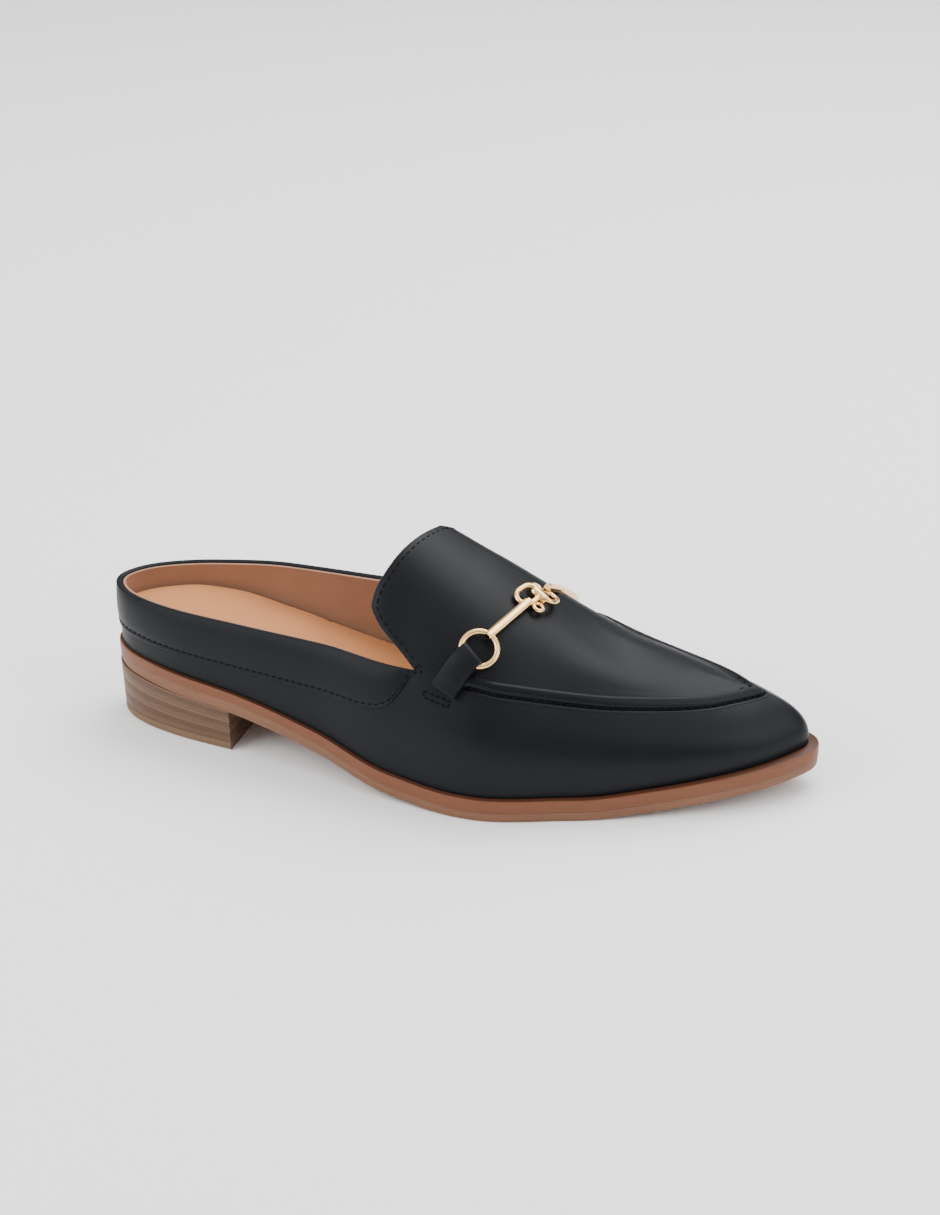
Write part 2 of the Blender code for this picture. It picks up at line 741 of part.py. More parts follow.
def bit_plan(name):
    along, side = BIT[name]
    return np.array([along * SOLE_LENGTH, side * BALL_WIDTH])


def bit(collection, cutters, gold, leather):
    """Snaffle across the instep: a barrel along the foot with a link and a small eye on each side of it, a bar from
    each link to a ring, and a folded tab of leather that holds each ring."""
    middle = bit_plan("centre")
    point, normal = on_upper(*middle)
    toward = {s: unit(bit_plan("ring_" + s) - middle) for s in ("lateral", "medial")}
    axes = frame_at(normal, np.append(toward["medial"] - toward["lateral"], 0.0))
    heelward = unit(axes[1][:2])
    piece = add_barrel("bit_centre", point + normal * LINK_LIFT, axes, collection, gold)
    links, eyes = {}, {}
    for s, sign in (("lateral", 1.0), ("medial", -1.0)):
        shift = heelward * sign
        at, up = on_upper(*(middle + toward[s] * LINK_LENGTH * 0.41 + shift * LINK_WIDTH * 0.34))
        along, across, up = frame_at(up, np.append(toward[s], 0.0))
        tilt = math.radians(LINK_TILT)
        lean = along * math.cos(tilt) - up * math.sin(tilt)
        links[s] = (at + up * LINK_LIFT, (lean, across, np.cross(lean, across)))
        at, up = on_upper(*(middle + toward[s] * EYE_RADIUS * 2.2 - shift * BARREL_LENGTH * 0.45))
        eyes[s] = (at + up * EYE_LIFT, frame_at(up, np.append(toward[s], 0.0)))
        combine(piece, add_link("link_" + s, *links[s], LINK_LENGTH, LINK_WIDTH, LINK_WIRE, cutters, gold), "UNION")
        combine(piece, add_ring("eye_" + s, *eyes[s], EYE_RADIUS, EYE_WIRE, cutters, gold), "UNION")
    for s in toward:
        ring_bit(s, links[s], eyes[s], toward[s], middle, collection, cutters, gold, leather)


def ring_bit(s, link, eye, aim, middle, collection, cutters, gold, leather):
    """One side's ring, the bar between it and the centre's link, and the tab that holds it."""
    plan = bit_plan("ring_" + s)
    foot = np.array(TAB_FOOT[s]) * (SOLE_LENGTH, BALL_WIDTH)
    point, normal = on_upper(*plan)
    foot_point = on_upper(*foot)[0]
    axes = frame_at(normal, foot_point - point)
    centre = point + normal * RING_LIFT
    add_ring("ring_" + s, centre, axes, RING_RADIUS, RING_WIRE, collection, gold)
    ring_room = add_ring("ring_room_" + s, centre, axes, RING_RADIUS, RING_WIRE + GAP, cutters, gold)
    link_room = add_link("link_room_" + s, *link, LINK_LENGTH, LINK_WIDTH, LINK_WIRE + GAP, cutters, gold)
    eye_room = add_ring("eye_room_" + s, *eye, EYE_RADIUS, EYE_WIRE + GAP, cutters, gold)

    start = plan - aim * (RING_RADIUS - RING_WIRE * 2.4)
    end = middle + aim * LINK_LENGTH * 0.65
    count = 9
    far = np.linspace(-1, 1, count)
    rise = {"lateral": BAR_RISE_LATERAL, "medial": BAR_RISE_MEDIAL}[s]
    lift = BAR_LIFT + far**2 * np.where(far < 0, rise, BAR_RISE_LINK)
    path, sides, normals, run = over_path(start, end, count, lift)
    profile = [(-0.5, -0.5), (0.5, -0.5), (0.5, 0.2), (0.22, 0.5), (-0.22, 0.5), (-0.5, 0.2)]
    widths = np.full(count, BAR_WIDTH)
    points, faces = swept_mesh(path, sides, normals, widths, np.full(count, BAR_THICKNESS), profile)
    bar = add_piece("bar_" + s, points, faces, collection, gold)
    for room in (ring_room, link_room, eye_room):
        combine(bar, room, "DIFFERENCE")

    down = unit(foot - plan)
    shares = np.array([0.0, 0.08, 0.2, 0.42, 0.62, 0.82, 1.0])
    top = plan + down * TAB_TOP
    found = [on_upper(*(top + (foot - top) * k)) for k in shares]
    normals = np.array([n for _, n in found])
    swell = np.array([0.4, 0.9, 1.0, 1.0, 0.6, 0.2, 0.0])
    thick = TAB_THICKNESS + (TAB_SWELL - TAB_THICKNESS) * swell
    base = np.array([p for p, _ in found]) + normals * TAB_CLEARANCE[s]
    lift = TAB_THICKNESS * np.array([0.375, 0.1, 0.0, 0.0, 0.0, 0.0, 0.0])
    path = base + normals * (thick / 2 + lift)[:, None]
    run = unit(np.gradient(path, axis=0))
    sides = unit(np.cross(normals, run))
    width = TAB_WIDTH * np.array([0.92, 0.96, 0.98, 1.0, 1.0, 1.0, 1.0])
    profile = [(-0.5, -0.32), (-0.42, -0.5), (0.42, -0.5), (0.5, -0.32), (0.5, 0.32), (0.42, 0.5), (-0.42, 0.5),
               (-0.5, 0.32)]
    points, faces = swept_mesh(path, sides, normals, width, thick, profile)
    tab = add_piece("tab_" + s, points, faces, collection, leather)
    combine(tab, ring_room, "DIFFERENCE")


def paint(name, colour, roughness, metallic=0.0):
    material = bpy.data.materials.new(name)
    material.use_nodes = True
    shader = material.node_tree.nodes["Principled BSDF"]
    shader.inputs["Base Color"].default_value = (*colour, 1.0)
    shader.inputs["Roughness"].default_value = roughness
    shader.inputs["Metallic"].default_value = metallic
    material.diffuse_color = (*colour, 1.0)
    return material


def main():
    for item in list(bpy.data.objects):
        bpy.data.objects.remove(item, do_unlink=True)
    shoe = bpy.data.collections.new("loafer_mule")
    cutters = bpy.data.collections.new("cutters")
    bpy.context.scene.collection.children.link(shoe)
    bpy.context.scene.collection.children.link(cutters)
    black = paint("upper_leather", (0.012, 0.012, 0.014), 0.42)
    tab_leather = paint("tab_leather", (0.012, 0.012, 0.014), 0.46)
    suede = paint("footbed_suede", (0.50, 0.27, 0.13), 0.85)
    tan = paint("welt_leather", (0.42, 0.20, 0.09), 0.55)
    grey = paint("sole_leather", (0.20, 0.13, 0.09), 0.6)
    stack = paint("heel_leather", (0.17, 0.11, 0.075), 0.6)
    tread = paint("heel_rubber", (0.15, 0.12, 0.06), 0.7)
    gold = paint("bit_gold", (0.83, 0.66, 0.40), 0.25, 1.0)
    slab("outsole", underside, lambda x: parting(x) - GAP, OUTSOLE_INSET, shoe, grey)
    slab("midsole", parting, sole_top, 0.0, shoe, tan)
    stack_floor = TOP_PIECE_THICKNESS + GAP
    heel_block("heel_stack", lambda x: np.full_like(x, stack_floor), lambda x: underside(x) - GAP,
               TOP_PIECE_INSET, HEEL_INSET, shoe, stack)
    heel_block("heel_top_piece", lambda x: np.zeros_like(x), lambda x: np.full_like(x, TOP_PIECE_THICKNESS),
               TOP_PIECE_INSET, TOP_PIECE_INSET, shoe, tread)
    insole(shoe, suede)
    upper(shoe, black)
    bit(shoe, cutters, gold, tab_leather)
    for cutter in cutters.objects:
        cutter.hide_render = True
        cutter.display_type = "WIRE"
        cutter.hide_set(True)


main()
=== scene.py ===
import math

import bpy
import numpy as np
from bpy.props import FloatProperty, FloatVectorProperty, PointerProperty
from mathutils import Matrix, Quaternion, Vector


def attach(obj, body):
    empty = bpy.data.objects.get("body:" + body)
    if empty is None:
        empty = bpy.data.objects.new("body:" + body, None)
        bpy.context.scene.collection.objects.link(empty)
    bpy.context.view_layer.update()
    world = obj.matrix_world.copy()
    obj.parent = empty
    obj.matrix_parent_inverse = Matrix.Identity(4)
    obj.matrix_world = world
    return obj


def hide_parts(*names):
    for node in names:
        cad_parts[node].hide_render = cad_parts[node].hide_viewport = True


bl_info = {
    "name": "Bit loafer mule",
    "version": (1, 0, 0),
    "blender": (4, 5, 0),
    "location": "3D View > Sidebar > Loafer",
    "description": "Dresses the right shoe of a slip-on loafer: upper, lining, footbed, sole, heel and metal bit",
    "category": "Add Mesh",
}

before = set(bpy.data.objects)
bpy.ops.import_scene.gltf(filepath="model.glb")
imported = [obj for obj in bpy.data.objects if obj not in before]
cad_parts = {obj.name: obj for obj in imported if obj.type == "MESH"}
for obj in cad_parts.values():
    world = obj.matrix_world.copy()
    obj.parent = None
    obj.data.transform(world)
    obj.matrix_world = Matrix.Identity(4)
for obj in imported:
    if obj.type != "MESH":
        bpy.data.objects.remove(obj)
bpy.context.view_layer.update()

# Sizes of the shoe in millimetres, measured from the back of the sole
SOLE_LENGTH = 262.0
BALL_WIDTH = 87.0
TOE_SWING = 8.8
HEEL_HEIGHT = 20.6
TOE_SPRING = 8.2
OUTSOLE = 3.7
OUTSOLE_AT_HEEL = 4.8
MIDSOLE = 4.8
TOP_PIECE = 3.2
SEAT_TRIM = 1.2
INSTEP_HEIGHT = 85.0
RIDGE_SIDE = 6.0
COLLAR_HEIGHT = 51.2
COLLAR_DROP = 1.9
NOTCH_X = 0.493 * SOLE_LENGTH
SPINE_END_X = 0.87 * SOLE_LENGTH
SPINE_START_X = 0.13 * SOLE_LENGTH
HEEL_BREAST_X = 54.1
HEEL_INSET = 0.8
HEEL_FALL = 0.0894
HEEL_LAYERS = 3.0
TOP_PIECE_INSET = 1.6
WALL = 2.2
GAP = 0.3
ROLL_HEIGHT = 0.95
ROLL_DROP = 0.8
GROOVE_DEPTH = 0.8
ORIGIN = np.array([27.85, 0.0, 0.0])
RIGHT_ANGLE = np.pi / 2

# Camera solved from the photo: where it looks, in millimetres, its turn, rise and roll in degrees, its distance in
# metres, and its focal length as a share of the picture's height
CAMERA_AIM = np.array([134.14, 9.06, 52.14])
CAMERA_TURN = 17.0
CAMERA_RISE = 25.26
CAMERA_ROLL = 0.15
CAMERA_FAR = 0.89603
CAMERA_LENS = 2501.47 / 1215

# Soft lights: place in metres, power in watts, side in metres
LIGHTS = {
    "key": ((0.35, 0.75, 1.3), 24.0, 1.2),
    "side": ((1.3, -0.2, 0.7), 11.0, 1.0),
    "front": ((-1.0, -0.9, 0.8), 23.0, 1.3)}


def table(*columns, rows):
    """Rows of numbers as named columns."""
    return dict(zip(columns, np.array(rows, float).T))


# Sole outline: share of the length, reach to each side as shares of the ball width
OUTLINE = table("along", "lateral", "medial", rows=[
    (0.00, 0.000, 0.000),
    (0.04, 0.176, 0.183),
    (0.12, 0.272, 0.284),
    (0.22, 0.331, 0.337),
    (0.34, 0.406, 0.334),
    (0.46, 0.522, 0.356),
    (0.58, 0.578, 0.418),
    (0.70, 0.487, 0.441),
    (0.80, 0.393, 0.398),
    (0.88, 0.307, 0.320),
    (0.94, 0.212, 0.226),
    (0.98, 0.109, 0.121),
    (1.00, 0.000, 0.000)])

# Underside of the sole: shares of the heel height and of the toe spring
UNDERSIDE = table("along", "heel", "toe", rows=[
    (0.00, 1.00, 0.00),
    (0.10, 0.90, 0.00),
    (0.22, 0.75, 0.00),
    (0.34, 0.45, 0.00),
    (0.46, 0.10, 0.00),
    (0.56, 0.00, 0.00),
    (0.72, 0.00, 0.00),
    (0.80, 0.00, 0.25),
    (0.90, 0.00, 0.66),
    (1.00, 0.00, 1.00)])

# Height of the last's ridge as a share of the instep height, and the fullness of its sections on each side
RIDGE = table("along", "height", "lateral", "medial", rows=[
    (0.00, 1.36, 2.7, 2.7),
    (0.23, 1.34, 2.7, 2.6),
    (0.38, 1.16, 2.4, 2.2),
    (0.473, 1.000, 2.3, 2.0),
    (0.556, 0.868, 2.3, 2.0),
    (0.63, 0.745, 2.35, 2.05),
    (0.694, 0.646, 2.4, 2.15),
    (0.745, 0.575, 2.5, 2.3),
    (0.829, 0.484, 2.6, 2.5),
    (0.916, 0.432, 2.5, 2.45),
    (0.97, 0.416, 2.3, 2.3),
    (1.00, 0.408, 2.25, 2.25)])

# Feather line: inset from the sole's edge, and bulge of the wall over it, in millimetres
FEATHER = table("along", "inset", "bulge", rows=[
    (0.00, 2.4, 0.3),
    (0.08, 1.8, 0.6),
    (0.20, 1.4, 1.0),
    (0.45, 1.6, 1.2),
    (0.65, 1.8, 2.0),
    (0.90, 2.6, 1.3),
    (1.00, 3.8, 0.5)])

# Moccasin seam: share of the way from notch to toe, how far out from the spine it runs
SEAM = table("along", "out", rows=[
    (0.00, 0.890),
    (0.06, 0.884),
    (0.11, 0.852),
    (0.25, 0.817),
    (0.41, 0.788),
    (0.57, 0.716),
    (0.73, 0.592),
    (0.82, 0.535),
    (1.00, 0.462)])

# Back edge of the vamp: share of the way up, setback on each side as a share of the sole's length
EAR = table("up", "lateral", "medial", rows=[
    (0.00, 0.0000, 0.000),
    (0.057, 0.0256, 0.014),
    (0.117, 0.0610, 0.030),
    (0.178, 0.0733, 0.036),
    (0.284, 0.0698, 0.034),
    (0.386, 0.0626, 0.028),
    (0.592, 0.0485, 0.016),
    (0.857, 0.0300, 0.013),
    (0.94, 0.0240, 0.015),
    (1.00, 0.0190, 0.019)])
EAR_REACH = 0.25

# Collar band: how far it hangs below the collar, as a share of the collar's height
BAND = table("along", "drop", rows=[
    (0.00, 0.300),
    (0.30, 0.315),
    (0.80, 0.345),
    (0.885, 0.340),
    (0.93, 0.310),
    (0.957, 0.250),
    (0.975, 0.150),
    (0.9875, 0.070),
    (1.00, 0.010)])

# Outer face of the collar band: height above its lower edge and thickness over the wall, in millimetres
BAND_PROFILE = table("up", "out", rows=[
    (0.00, 0.05), (0.25, 0.62), (0.70, 0.74), (1.10, 0.62), (1.40, 0.42),
    (1.80, 0.62), (2.40, 0.82), (4.00, 1.02), (6.00, 1.16), (8.50, 1.26)])

# Sewn groove of the moccasin seam: how far it runs from the last's seam towards the plug on each side, and how
# wide the plug's rolled edge is, all in millimetres
GROOVE = table("along", "lateral", "medial", "roll", rows=[
    (0.00, -1.0, 0.0, 3.0),
    (0.09, -1.0, 1.0, 3.2),
    (0.18, -0.7, 6.0, 3.5),
    (0.24, -0.4, 10.5, 3.5),
    (0.31, 0.0, 13.3, 3.5),
    (0.36, 0.4, 13.2, 3.5),
    (0.40, 0.8, 11.6, 3.5),
    (0.44, 1.1, 8.4, 3.5),
    (0.48, 1.3, 5.4, 3.5),
    (0.52, 1.3, 3.5, 3.5),
    (0.58, 1.1, 1.7, 3.6),
    (0.64, 0.8, 0.6, 3.7),
    (0.70, 0.6, 0.0, 3.8),
    (0.85, 0.0, 0.0, 4.4),
    (1.00, 0.0, 0.0, 4.6)])


def follow(columns, name, at, key="along"):
    """Monotone cubic through a table's points."""
    x, y = columns[key], columns[name]
    step = np.diff(x)
    rise = np.diff(y) / step
    slope = np.zeros_like(y)
    same = rise[:-1] * rise[1:] > 0
    near, far = 2 * step[1:] + step[:-1], step[1:] + 2 * step[:-1]
    safe = np.where(rise == 0, 1.0, rise)
    mean = (near + far) / (near / safe[:-1] + far / safe[1:])
    slope[1:-1] = np.where(same, mean, 0.0)
    slope[0], slope[-1] = rise[0], rise[-1]
    at = np.clip(np.asarray(at, float), x[0], x[-1])
    k = np.clip(np.searchsorted(x, at, side="right") - 1, 0, len(step) - 1)
    t = (at - x[k]) / step[k]
    low = y[k] * (1 + 2 * t) * (1 - t) ** 2 + slope[k] * step[k] * t * (1 - t) ** 2
    high = y[k + 1] * t * t * (3 - 2 * t) - slope[k + 1] * step[k] * t * t * (1 - t)
    return low + high


def ease(low, high, at):
    """Smooth step from 0 at low to 1 at high."""
    t = np.clip((np.asarray(at, float) - low) / (high - low), 0, 1)
    return t * t * (3 - 2 * t)


def hump(at, middle, width):
    """Bell of height 1 at middle."""
    return np.exp(-(((at - middle) / width) ** 2))


def unit(v):
    return v / np.maximum(np.linalg.norm(v, axis=-1, keepdims=True), 1e-12)


def axis_y(x):
    return TOE_SWING * np.clip((x / SOLE_LENGTH - 0.6) / 0.4, 0, 1) ** 2


def underside(x):
    share = x / SOLE_LENGTH
    return HEEL_HEIGHT * follow(UNDERSIDE, "heel", share) + TOE_SPRING * follow(UNDERSIDE, "toe", share)


def sole_top(x):
    return underside(x) + OUTSOLE + MIDSOLE


def parting(x):
    """Height at which the outsole ends and the midsole starts."""
    return underside(x) + OUTSOLE + (OUTSOLE_AT_HEEL - OUTSOLE) * (1 - ease(0.2, 0.5, x / SOLE_LENGTH))


def ceiling(x):
    return INSTEP_HEIGHT * follow(RIDGE, "height", x / SOLE_LENGTH)


# A turn goes round the shoe: -1 to 1 on the outer side from heel to toe with 0 at the notch, 1 to 3 back inside

def fold(turn):
    """Turn as a place along the foot from -1 to 1, and the side: -1 outer, 1 inner."""
    turn = np.mod(np.asarray(turn, float) + 1, 4) - 1
    inner = turn > 1
    return np.where(inner, 2 - turn, turn), np.where(inner, 1.0, -1.0)


def station_x(place):
    return NOTCH_X + np.where(place > 0, SOLE_LENGTH - NOTCH_X, NOTCH_X) * np.sin(place * RIGHT_ANGLE)


def place_at(x):
    return math.asin(x / NOTCH_X - 1) / RIGHT_ANGLE


def by_side(columns, side, at, key="along"):
    """A table's value on the outer or the inner side."""
    return np.where(side < 0, follow(columns, "lateral", at, key), follow(columns, "medial", at, key))


def sole_edge(turn):
    place, side = fold(turn)
    x = station_x(place)
    squares = {"along": OUTLINE["along"], "lateral": OUTLINE["lateral"] ** 2, "medial": OUTLINE["medial"] ** 2}
    reach = by_side(squares, side, x / SOLE_LENGTH)
    return np.stack([x, axis_y(x) + side * BALL_WIDTH * np.sqrt(np.maximum(reach, 0))], -1)


def outward(turn):
    run = unit(sole_edge(turn + 0.01) - sole_edge(turn - 0.01))
    return np.stack([run[..., 1], -run[..., 0]], -1)


def inset_edge(turn, inset):
    return sole_edge(turn) - outward(turn) * np.asarray(inset, float)[..., None]


def seat_trim(turn):
    """How far the edge of the sole and heel is trimmed in at the back."""
    return SEAT_TRIM * (1 - ease(0.0, 0.16, station_x(fold(turn)[0]) / SOLE_LENGTH))


def feather(turn):
    place = fold(turn)[0]
    return inset_edge(turn, follow(FEATHER, "inset", station_x(place) / SOLE_LENGTH))


def spine(place):
    reach = np.where(place > 0, SPINE_END_X - NOTCH_X, NOTCH_X - SPINE_START_X)
    x = NOTCH_X + np.sign(place) * reach * (1 - (1 - np.abs(place)) ** 1.6)
    return np.stack([x, RIDGE_SIDE * ease(SPINE_START_X, NOTCH_X, x)], -1)


def fullness(turn):
    place, side = fold(turn)
    return by_side(RIDGE, side, station_x(place) / SOLE_LENGTH)


def collar_z(x):
    return COLLAR_HEIGHT - COLLAR_DROP * ease(0.36 * SOLE_LENGTH, NOTCH_X, x)


def angle_at(turn, z):
    """Section angle at which the wall reaches a height: 0 at the feather line, a right angle on the ridge."""
    x = feather(turn)[..., 0]
    base = sole_top(x) + GAP
    share = np.clip((z - base) / (ceiling(x) - base), 0, 1)
    return np.arcsin(share ** (fullness(turn) / 2))


def top_angle(turn):
    """Angle of the collar behind the notch and of the moccasin seam in front of it."""
    place = fold(turn)[0]
    collar = angle_at(turn, collar_z(feather(turn)[..., 0]))
    seam = np.arccos(follow(SEAM, "out", np.maximum(place, 0)) ** (fullness(turn) / 2))
    return np.where(place <= 0, collar, seam + (collar - seam) * (1 - ease(0.0, 0.16, place)))


def section(turn, angle):
    """Point on the lasted upper: in plan a share u of the way from the spine out to the feather line, moved out by
    the wall's bulge, and in height a share v of the way from the sole to the ceiling, where u and v follow the
    superellipse of the section's fullness."""
    place = fold(turn)[0]
    full = fullness(turn)
    top = top_angle(turn)
    u = np.maximum(np.cos(angle), 0) ** (2 / full)
    v = np.sin(angle) ** (2 / full)
    foot, ridge = feather(turn), spine(place)
    swell = np.sin(np.pi * np.clip(v / np.sin(top) ** (2 / full), 0, 1))
    bulge = follow(FEATHER, "bulge", station_x(place) / SOLE_LENGTH) * swell
    plan = ridge + (foot - ridge) * u[..., None] + outward(turn) * bulge[..., None]
    base = sole_top(foot[..., 0]) + GAP
    z = base + (ceiling(plan[..., 0]) - base) * v
    return np.concatenate([plan, z[..., None]], -1)


def section_normal(turn, angle):
    step = 0.01
    low, high = np.maximum(angle - step, 0), np.minimum(angle + step, RIGHT_ANGLE)
    across = section(turn, high) - section(turn, low)
    safe = np.minimum(angle, RIGHT_ANGLE - step)
    along = section(turn + step, safe) - section(turn - step, safe)
    normal = unit(np.cross(along, across))
    upside_down = (angle > 0.7) & (normal[..., 2] < 0)
    return np.where(upside_down[..., None], -normal, normal)


def setback(turn, up):
    """Turn moved back at the vamp's rear edge along the ear's table, fading out over the ear's reach."""
    place, side = fold(turn)
    full = fullness(turn)
    top = top_angle(turn)
    out = np.maximum(np.cos(top + (RIGHT_ANGLE - top) * up), 0) ** (2 / full)
    slope = out * SOLE_LENGTH * np.pi / 4 + (1 - out) * (SPINE_END_X - NOTCH_X) * 1.6
    back = by_side(EAR, side, up, "up")
    fade = np.clip(1 - np.maximum(place, 0) / EAR_REACH, 0, 1) ** 2
    return turn + side * SOLE_LENGTH * back / slope * fade


def wall_scale(turn, angle):
    """Millimetres along the section for each radian of its angle."""
    return np.linalg.norm(section(turn, angle + 0.01) - section(turn, angle - 0.01), axis=-1) / 0.02


def spot_on_upper(x, y):
    """Turn and angle of the upper above a plan point of the vamp, by Newton steps from a grid."""
    target = np.array([x, y])
    turn, angle = np.meshgrid(np.linspace(0.02, 1.98, 60), np.linspace(0.2, RIGHT_ANGLE - 0.02, 40), indexing="ij")
    apart = np.linalg.norm(section(turn, angle)[..., :2] - target, axis=-1)
    best = np.unravel_index(np.argmin(apart), apart.shape)
    t, a = turn[best], angle[best]
    for _ in range(12):
        here = section(np.array(t), np.array(a))[:2]
        by_t = (section(np.array(t + 0.002), np.array(a))[:2] - here) / 0.002
        by_a = (section(np.array(t), np.array(a - 0.002))[:2] - here) / -0.002
        move = np.linalg.lstsq(np.stack([by_t, by_a], 1), target - here, rcond=None)[0]
        move = np.clip(move, -0.1, 0.1)
        t = float(np.clip(t + move[0], 0.01, 1.99))
        a = float(np.clip(a + move[1], 0.1, RIGHT_ANGLE - 0.003))
    return t, a


def on_upper(x, y):
    """Point and normal of the upper above a plan point of the vamp."""
    t, a = spot_on_upper(x, y)
    return section(np.array(t), np.array(a)), section_normal(np.array(t), np.array(a))


# Meshes

def put_mesh(name, points, faces, material, slot, node=None, smooth=40):
    """Mesh object from points in millimetres of the sole's own axes. It rides on the shoe and stands for the node.
    The slot argument is not used."""
    mesh = bpy.data.meshes.new(name)
    places = ((np.asarray(points, float) - ORIGIN) * 0.001).tolist()
    mesh.from_pydata(places, [], [tuple(f) for f in faces])
    mesh.validate()
    mesh.update()
    mesh.materials.append(material)
    mesh.shade_smooth()
    mesh.set_sharp_from_angle(angle=math.radians(smooth))
    piece = bpy.data.objects.new(name, mesh)
    bpy.context.scene.collection.objects.link(piece)
    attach(piece, "root")
    if node:
        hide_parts(node)
    return piece


def grid_quads(index):
    """Quads of a grid of vertex numbers whose rows run one way and columns the other. A negative number leaves the
    quad out, and a quad with two equal neighbours becomes a triangle."""
    quads = np.stack([index[:-1, :-1], index[:-1, 1:], index[1:, 1:], index[1:, :-1]], -1).reshape(-1, 4)
    quads = quads[(quads >= 0).all(1)]
    same = quads == np.roll(quads, -1, 1)
    whole = quads[~same.any(1)]
    thin = quads[same.sum(1) == 1]
    drop = np.argmax(same[same.sum(1) == 1], 1)
    keep = np.ones_like(thin, bool)
    keep[np.arange(len(thin)), drop] = False
    return whole.tolist() + thin[keep].reshape(-1, 3).tolist()


def rings(points):
    """Faces of a closed tube given as rings of points that follow each other, without its end caps."""
    n, m = points.shape[:2]
    index = np.arange(n * m).reshape(n, m)
    return grid_quads(np.concatenate([index, index[:, :1]], 1)), index


def tube(points):
    """Closed tube through rings of points, with a flat end at each side."""
    faces, index = rings(points)
    return points.reshape(-1, 3), [f[::-1] for f in faces] + [index[0].tolist(), index[-1][::-1].tolist()]


def strips(ring):
    """Quads that close a ring of vertex numbers, from its outer half across to its inner one."""
    along = np.arange(len(ring) // 2 + 1)
    return grid_quads(ring[np.stack([along, -along % len(ring)])])


def squared(path, normals):
    """Sides of a path that lies on a surface, and normals square to its run."""
    run = unit(np.gradient(path, axis=0))
    sides = unit(np.cross(normals, run))
    return sides, np.cross(run, sides)


def carry(path, sides, normals, profile, widths=1.0, heights=1.0):
    """Solid carried along a path: the profile's points, in shares of width and height, at each point of it."""
    shape = np.asarray(profile, float)
    w = np.broadcast_to(widths, len(path))[:, None, None]
    h = np.broadcast_to(heights, len(path))[:, None, None]
    across, upward = sides[:, None] * shape[None, :, :1] * w, normals[:, None] * shape[None, :, 1:] * h
    return tube(path[:, None] + across + upward)


def gather(parts):
    """Several meshes as one."""
    points, faces, start = [], [], 0
    for p, f in parts:
        points.append(p)
        faces += [[v + start for v in face] for face in f]
        start += len(p)
    return np.concatenate(points), faces


def thread(path, normals, pitch, length, radius, sink=0.0):
    """Row of stitches on a path: each is a short six-sided capsule that lies on the surface, dips at both ends
    and follows the path's run."""
    steps = np.linalg.norm(np.diff(path, axis=0), axis=1)
    far = np.concatenate([[0], np.cumsum(steps)])
    count = max(int(far[-1] / pitch), 1)
    middle = (np.arange(count) + 0.5) * far[-1] / count
    shares = np.linspace(-0.5, 0.5, 6)
    at = middle[:, None] + shares * length
    spot = np.stack([np.interp(at, far, path[:, k]) for k in range(3)], -1)
    up = unit(np.stack([np.interp(at, far, normals[:, k]) for k in range(3)], -1))
    run = unit(np.gradient(spot, axis=1))
    side = unit(np.cross(up, run))
    dip = 1 - (2 * shares) ** 4
    size = radius * np.array([0.35, 0.85, 1.0, 1.0, 0.85, 0.35])
    centre = spot + up * (radius * (1.3 * dip - 0.9) - sink)[None, :, None]
    around = np.linspace(0, 2 * np.pi, 6, endpoint=False)
    ring = (
        centre[:, :, None]
        + side[:, :, None] * (size[None, :, None] * np.cos(around))[..., None]
        + up[:, :, None] * (size[None, :, None] * np.sin(around))[..., None])
    one = np.arange(36).reshape(6, 6)
    quads = grid_quads(np.concatenate([one, one[:, :1]], 1))
    faces = [f[::-1] for f in quads] + [one[0].tolist(), one[-1][::-1].tolist()]
    faces = [[v + 36 * k for v in f] for k in range(count) for f in faces]
    return ring.reshape(-1, 3), faces


# Shader maths

class Socket:
    """Wraps a node's output so that maths on it adds Math nodes."""

    def __init__(self, paint, output):
        self.paint, self.output = paint, output

    def math(self, operation, *values):
        return self.paint.node("ShaderNodeMath", {"operation": operation}, dict(enumerate(values)))

    def __add__(self, other):
        return self.math("ADD", self, other)

    def __radd__(self, other):
        return self.math("ADD", other, self)

    def __sub__(self, other):
        return self.math("SUBTRACT", self, other)

    def __rsub__(self, other):
        return self.math("SUBTRACT", other, self)

    def __mul__(self, other):
        return self.math("MULTIPLY", self, other)

    def __truediv__(self, other):
        return self.math("DIVIDE", self, other)

    def clamp(self):
        return self.math("MINIMUM", self.math("MAXIMUM", self, 0.0), 1.0)

    def between(self, low, high):
        """Smooth step of the value between two limits."""
        return self.paint.node(
            "ShaderNodeMapRange", {"interpolation_type": "SMOOTHSTEP"},
            {"Value": self, "From Min": low, "From Max": high, "To Min": 0.0, "To Max": 1.0})


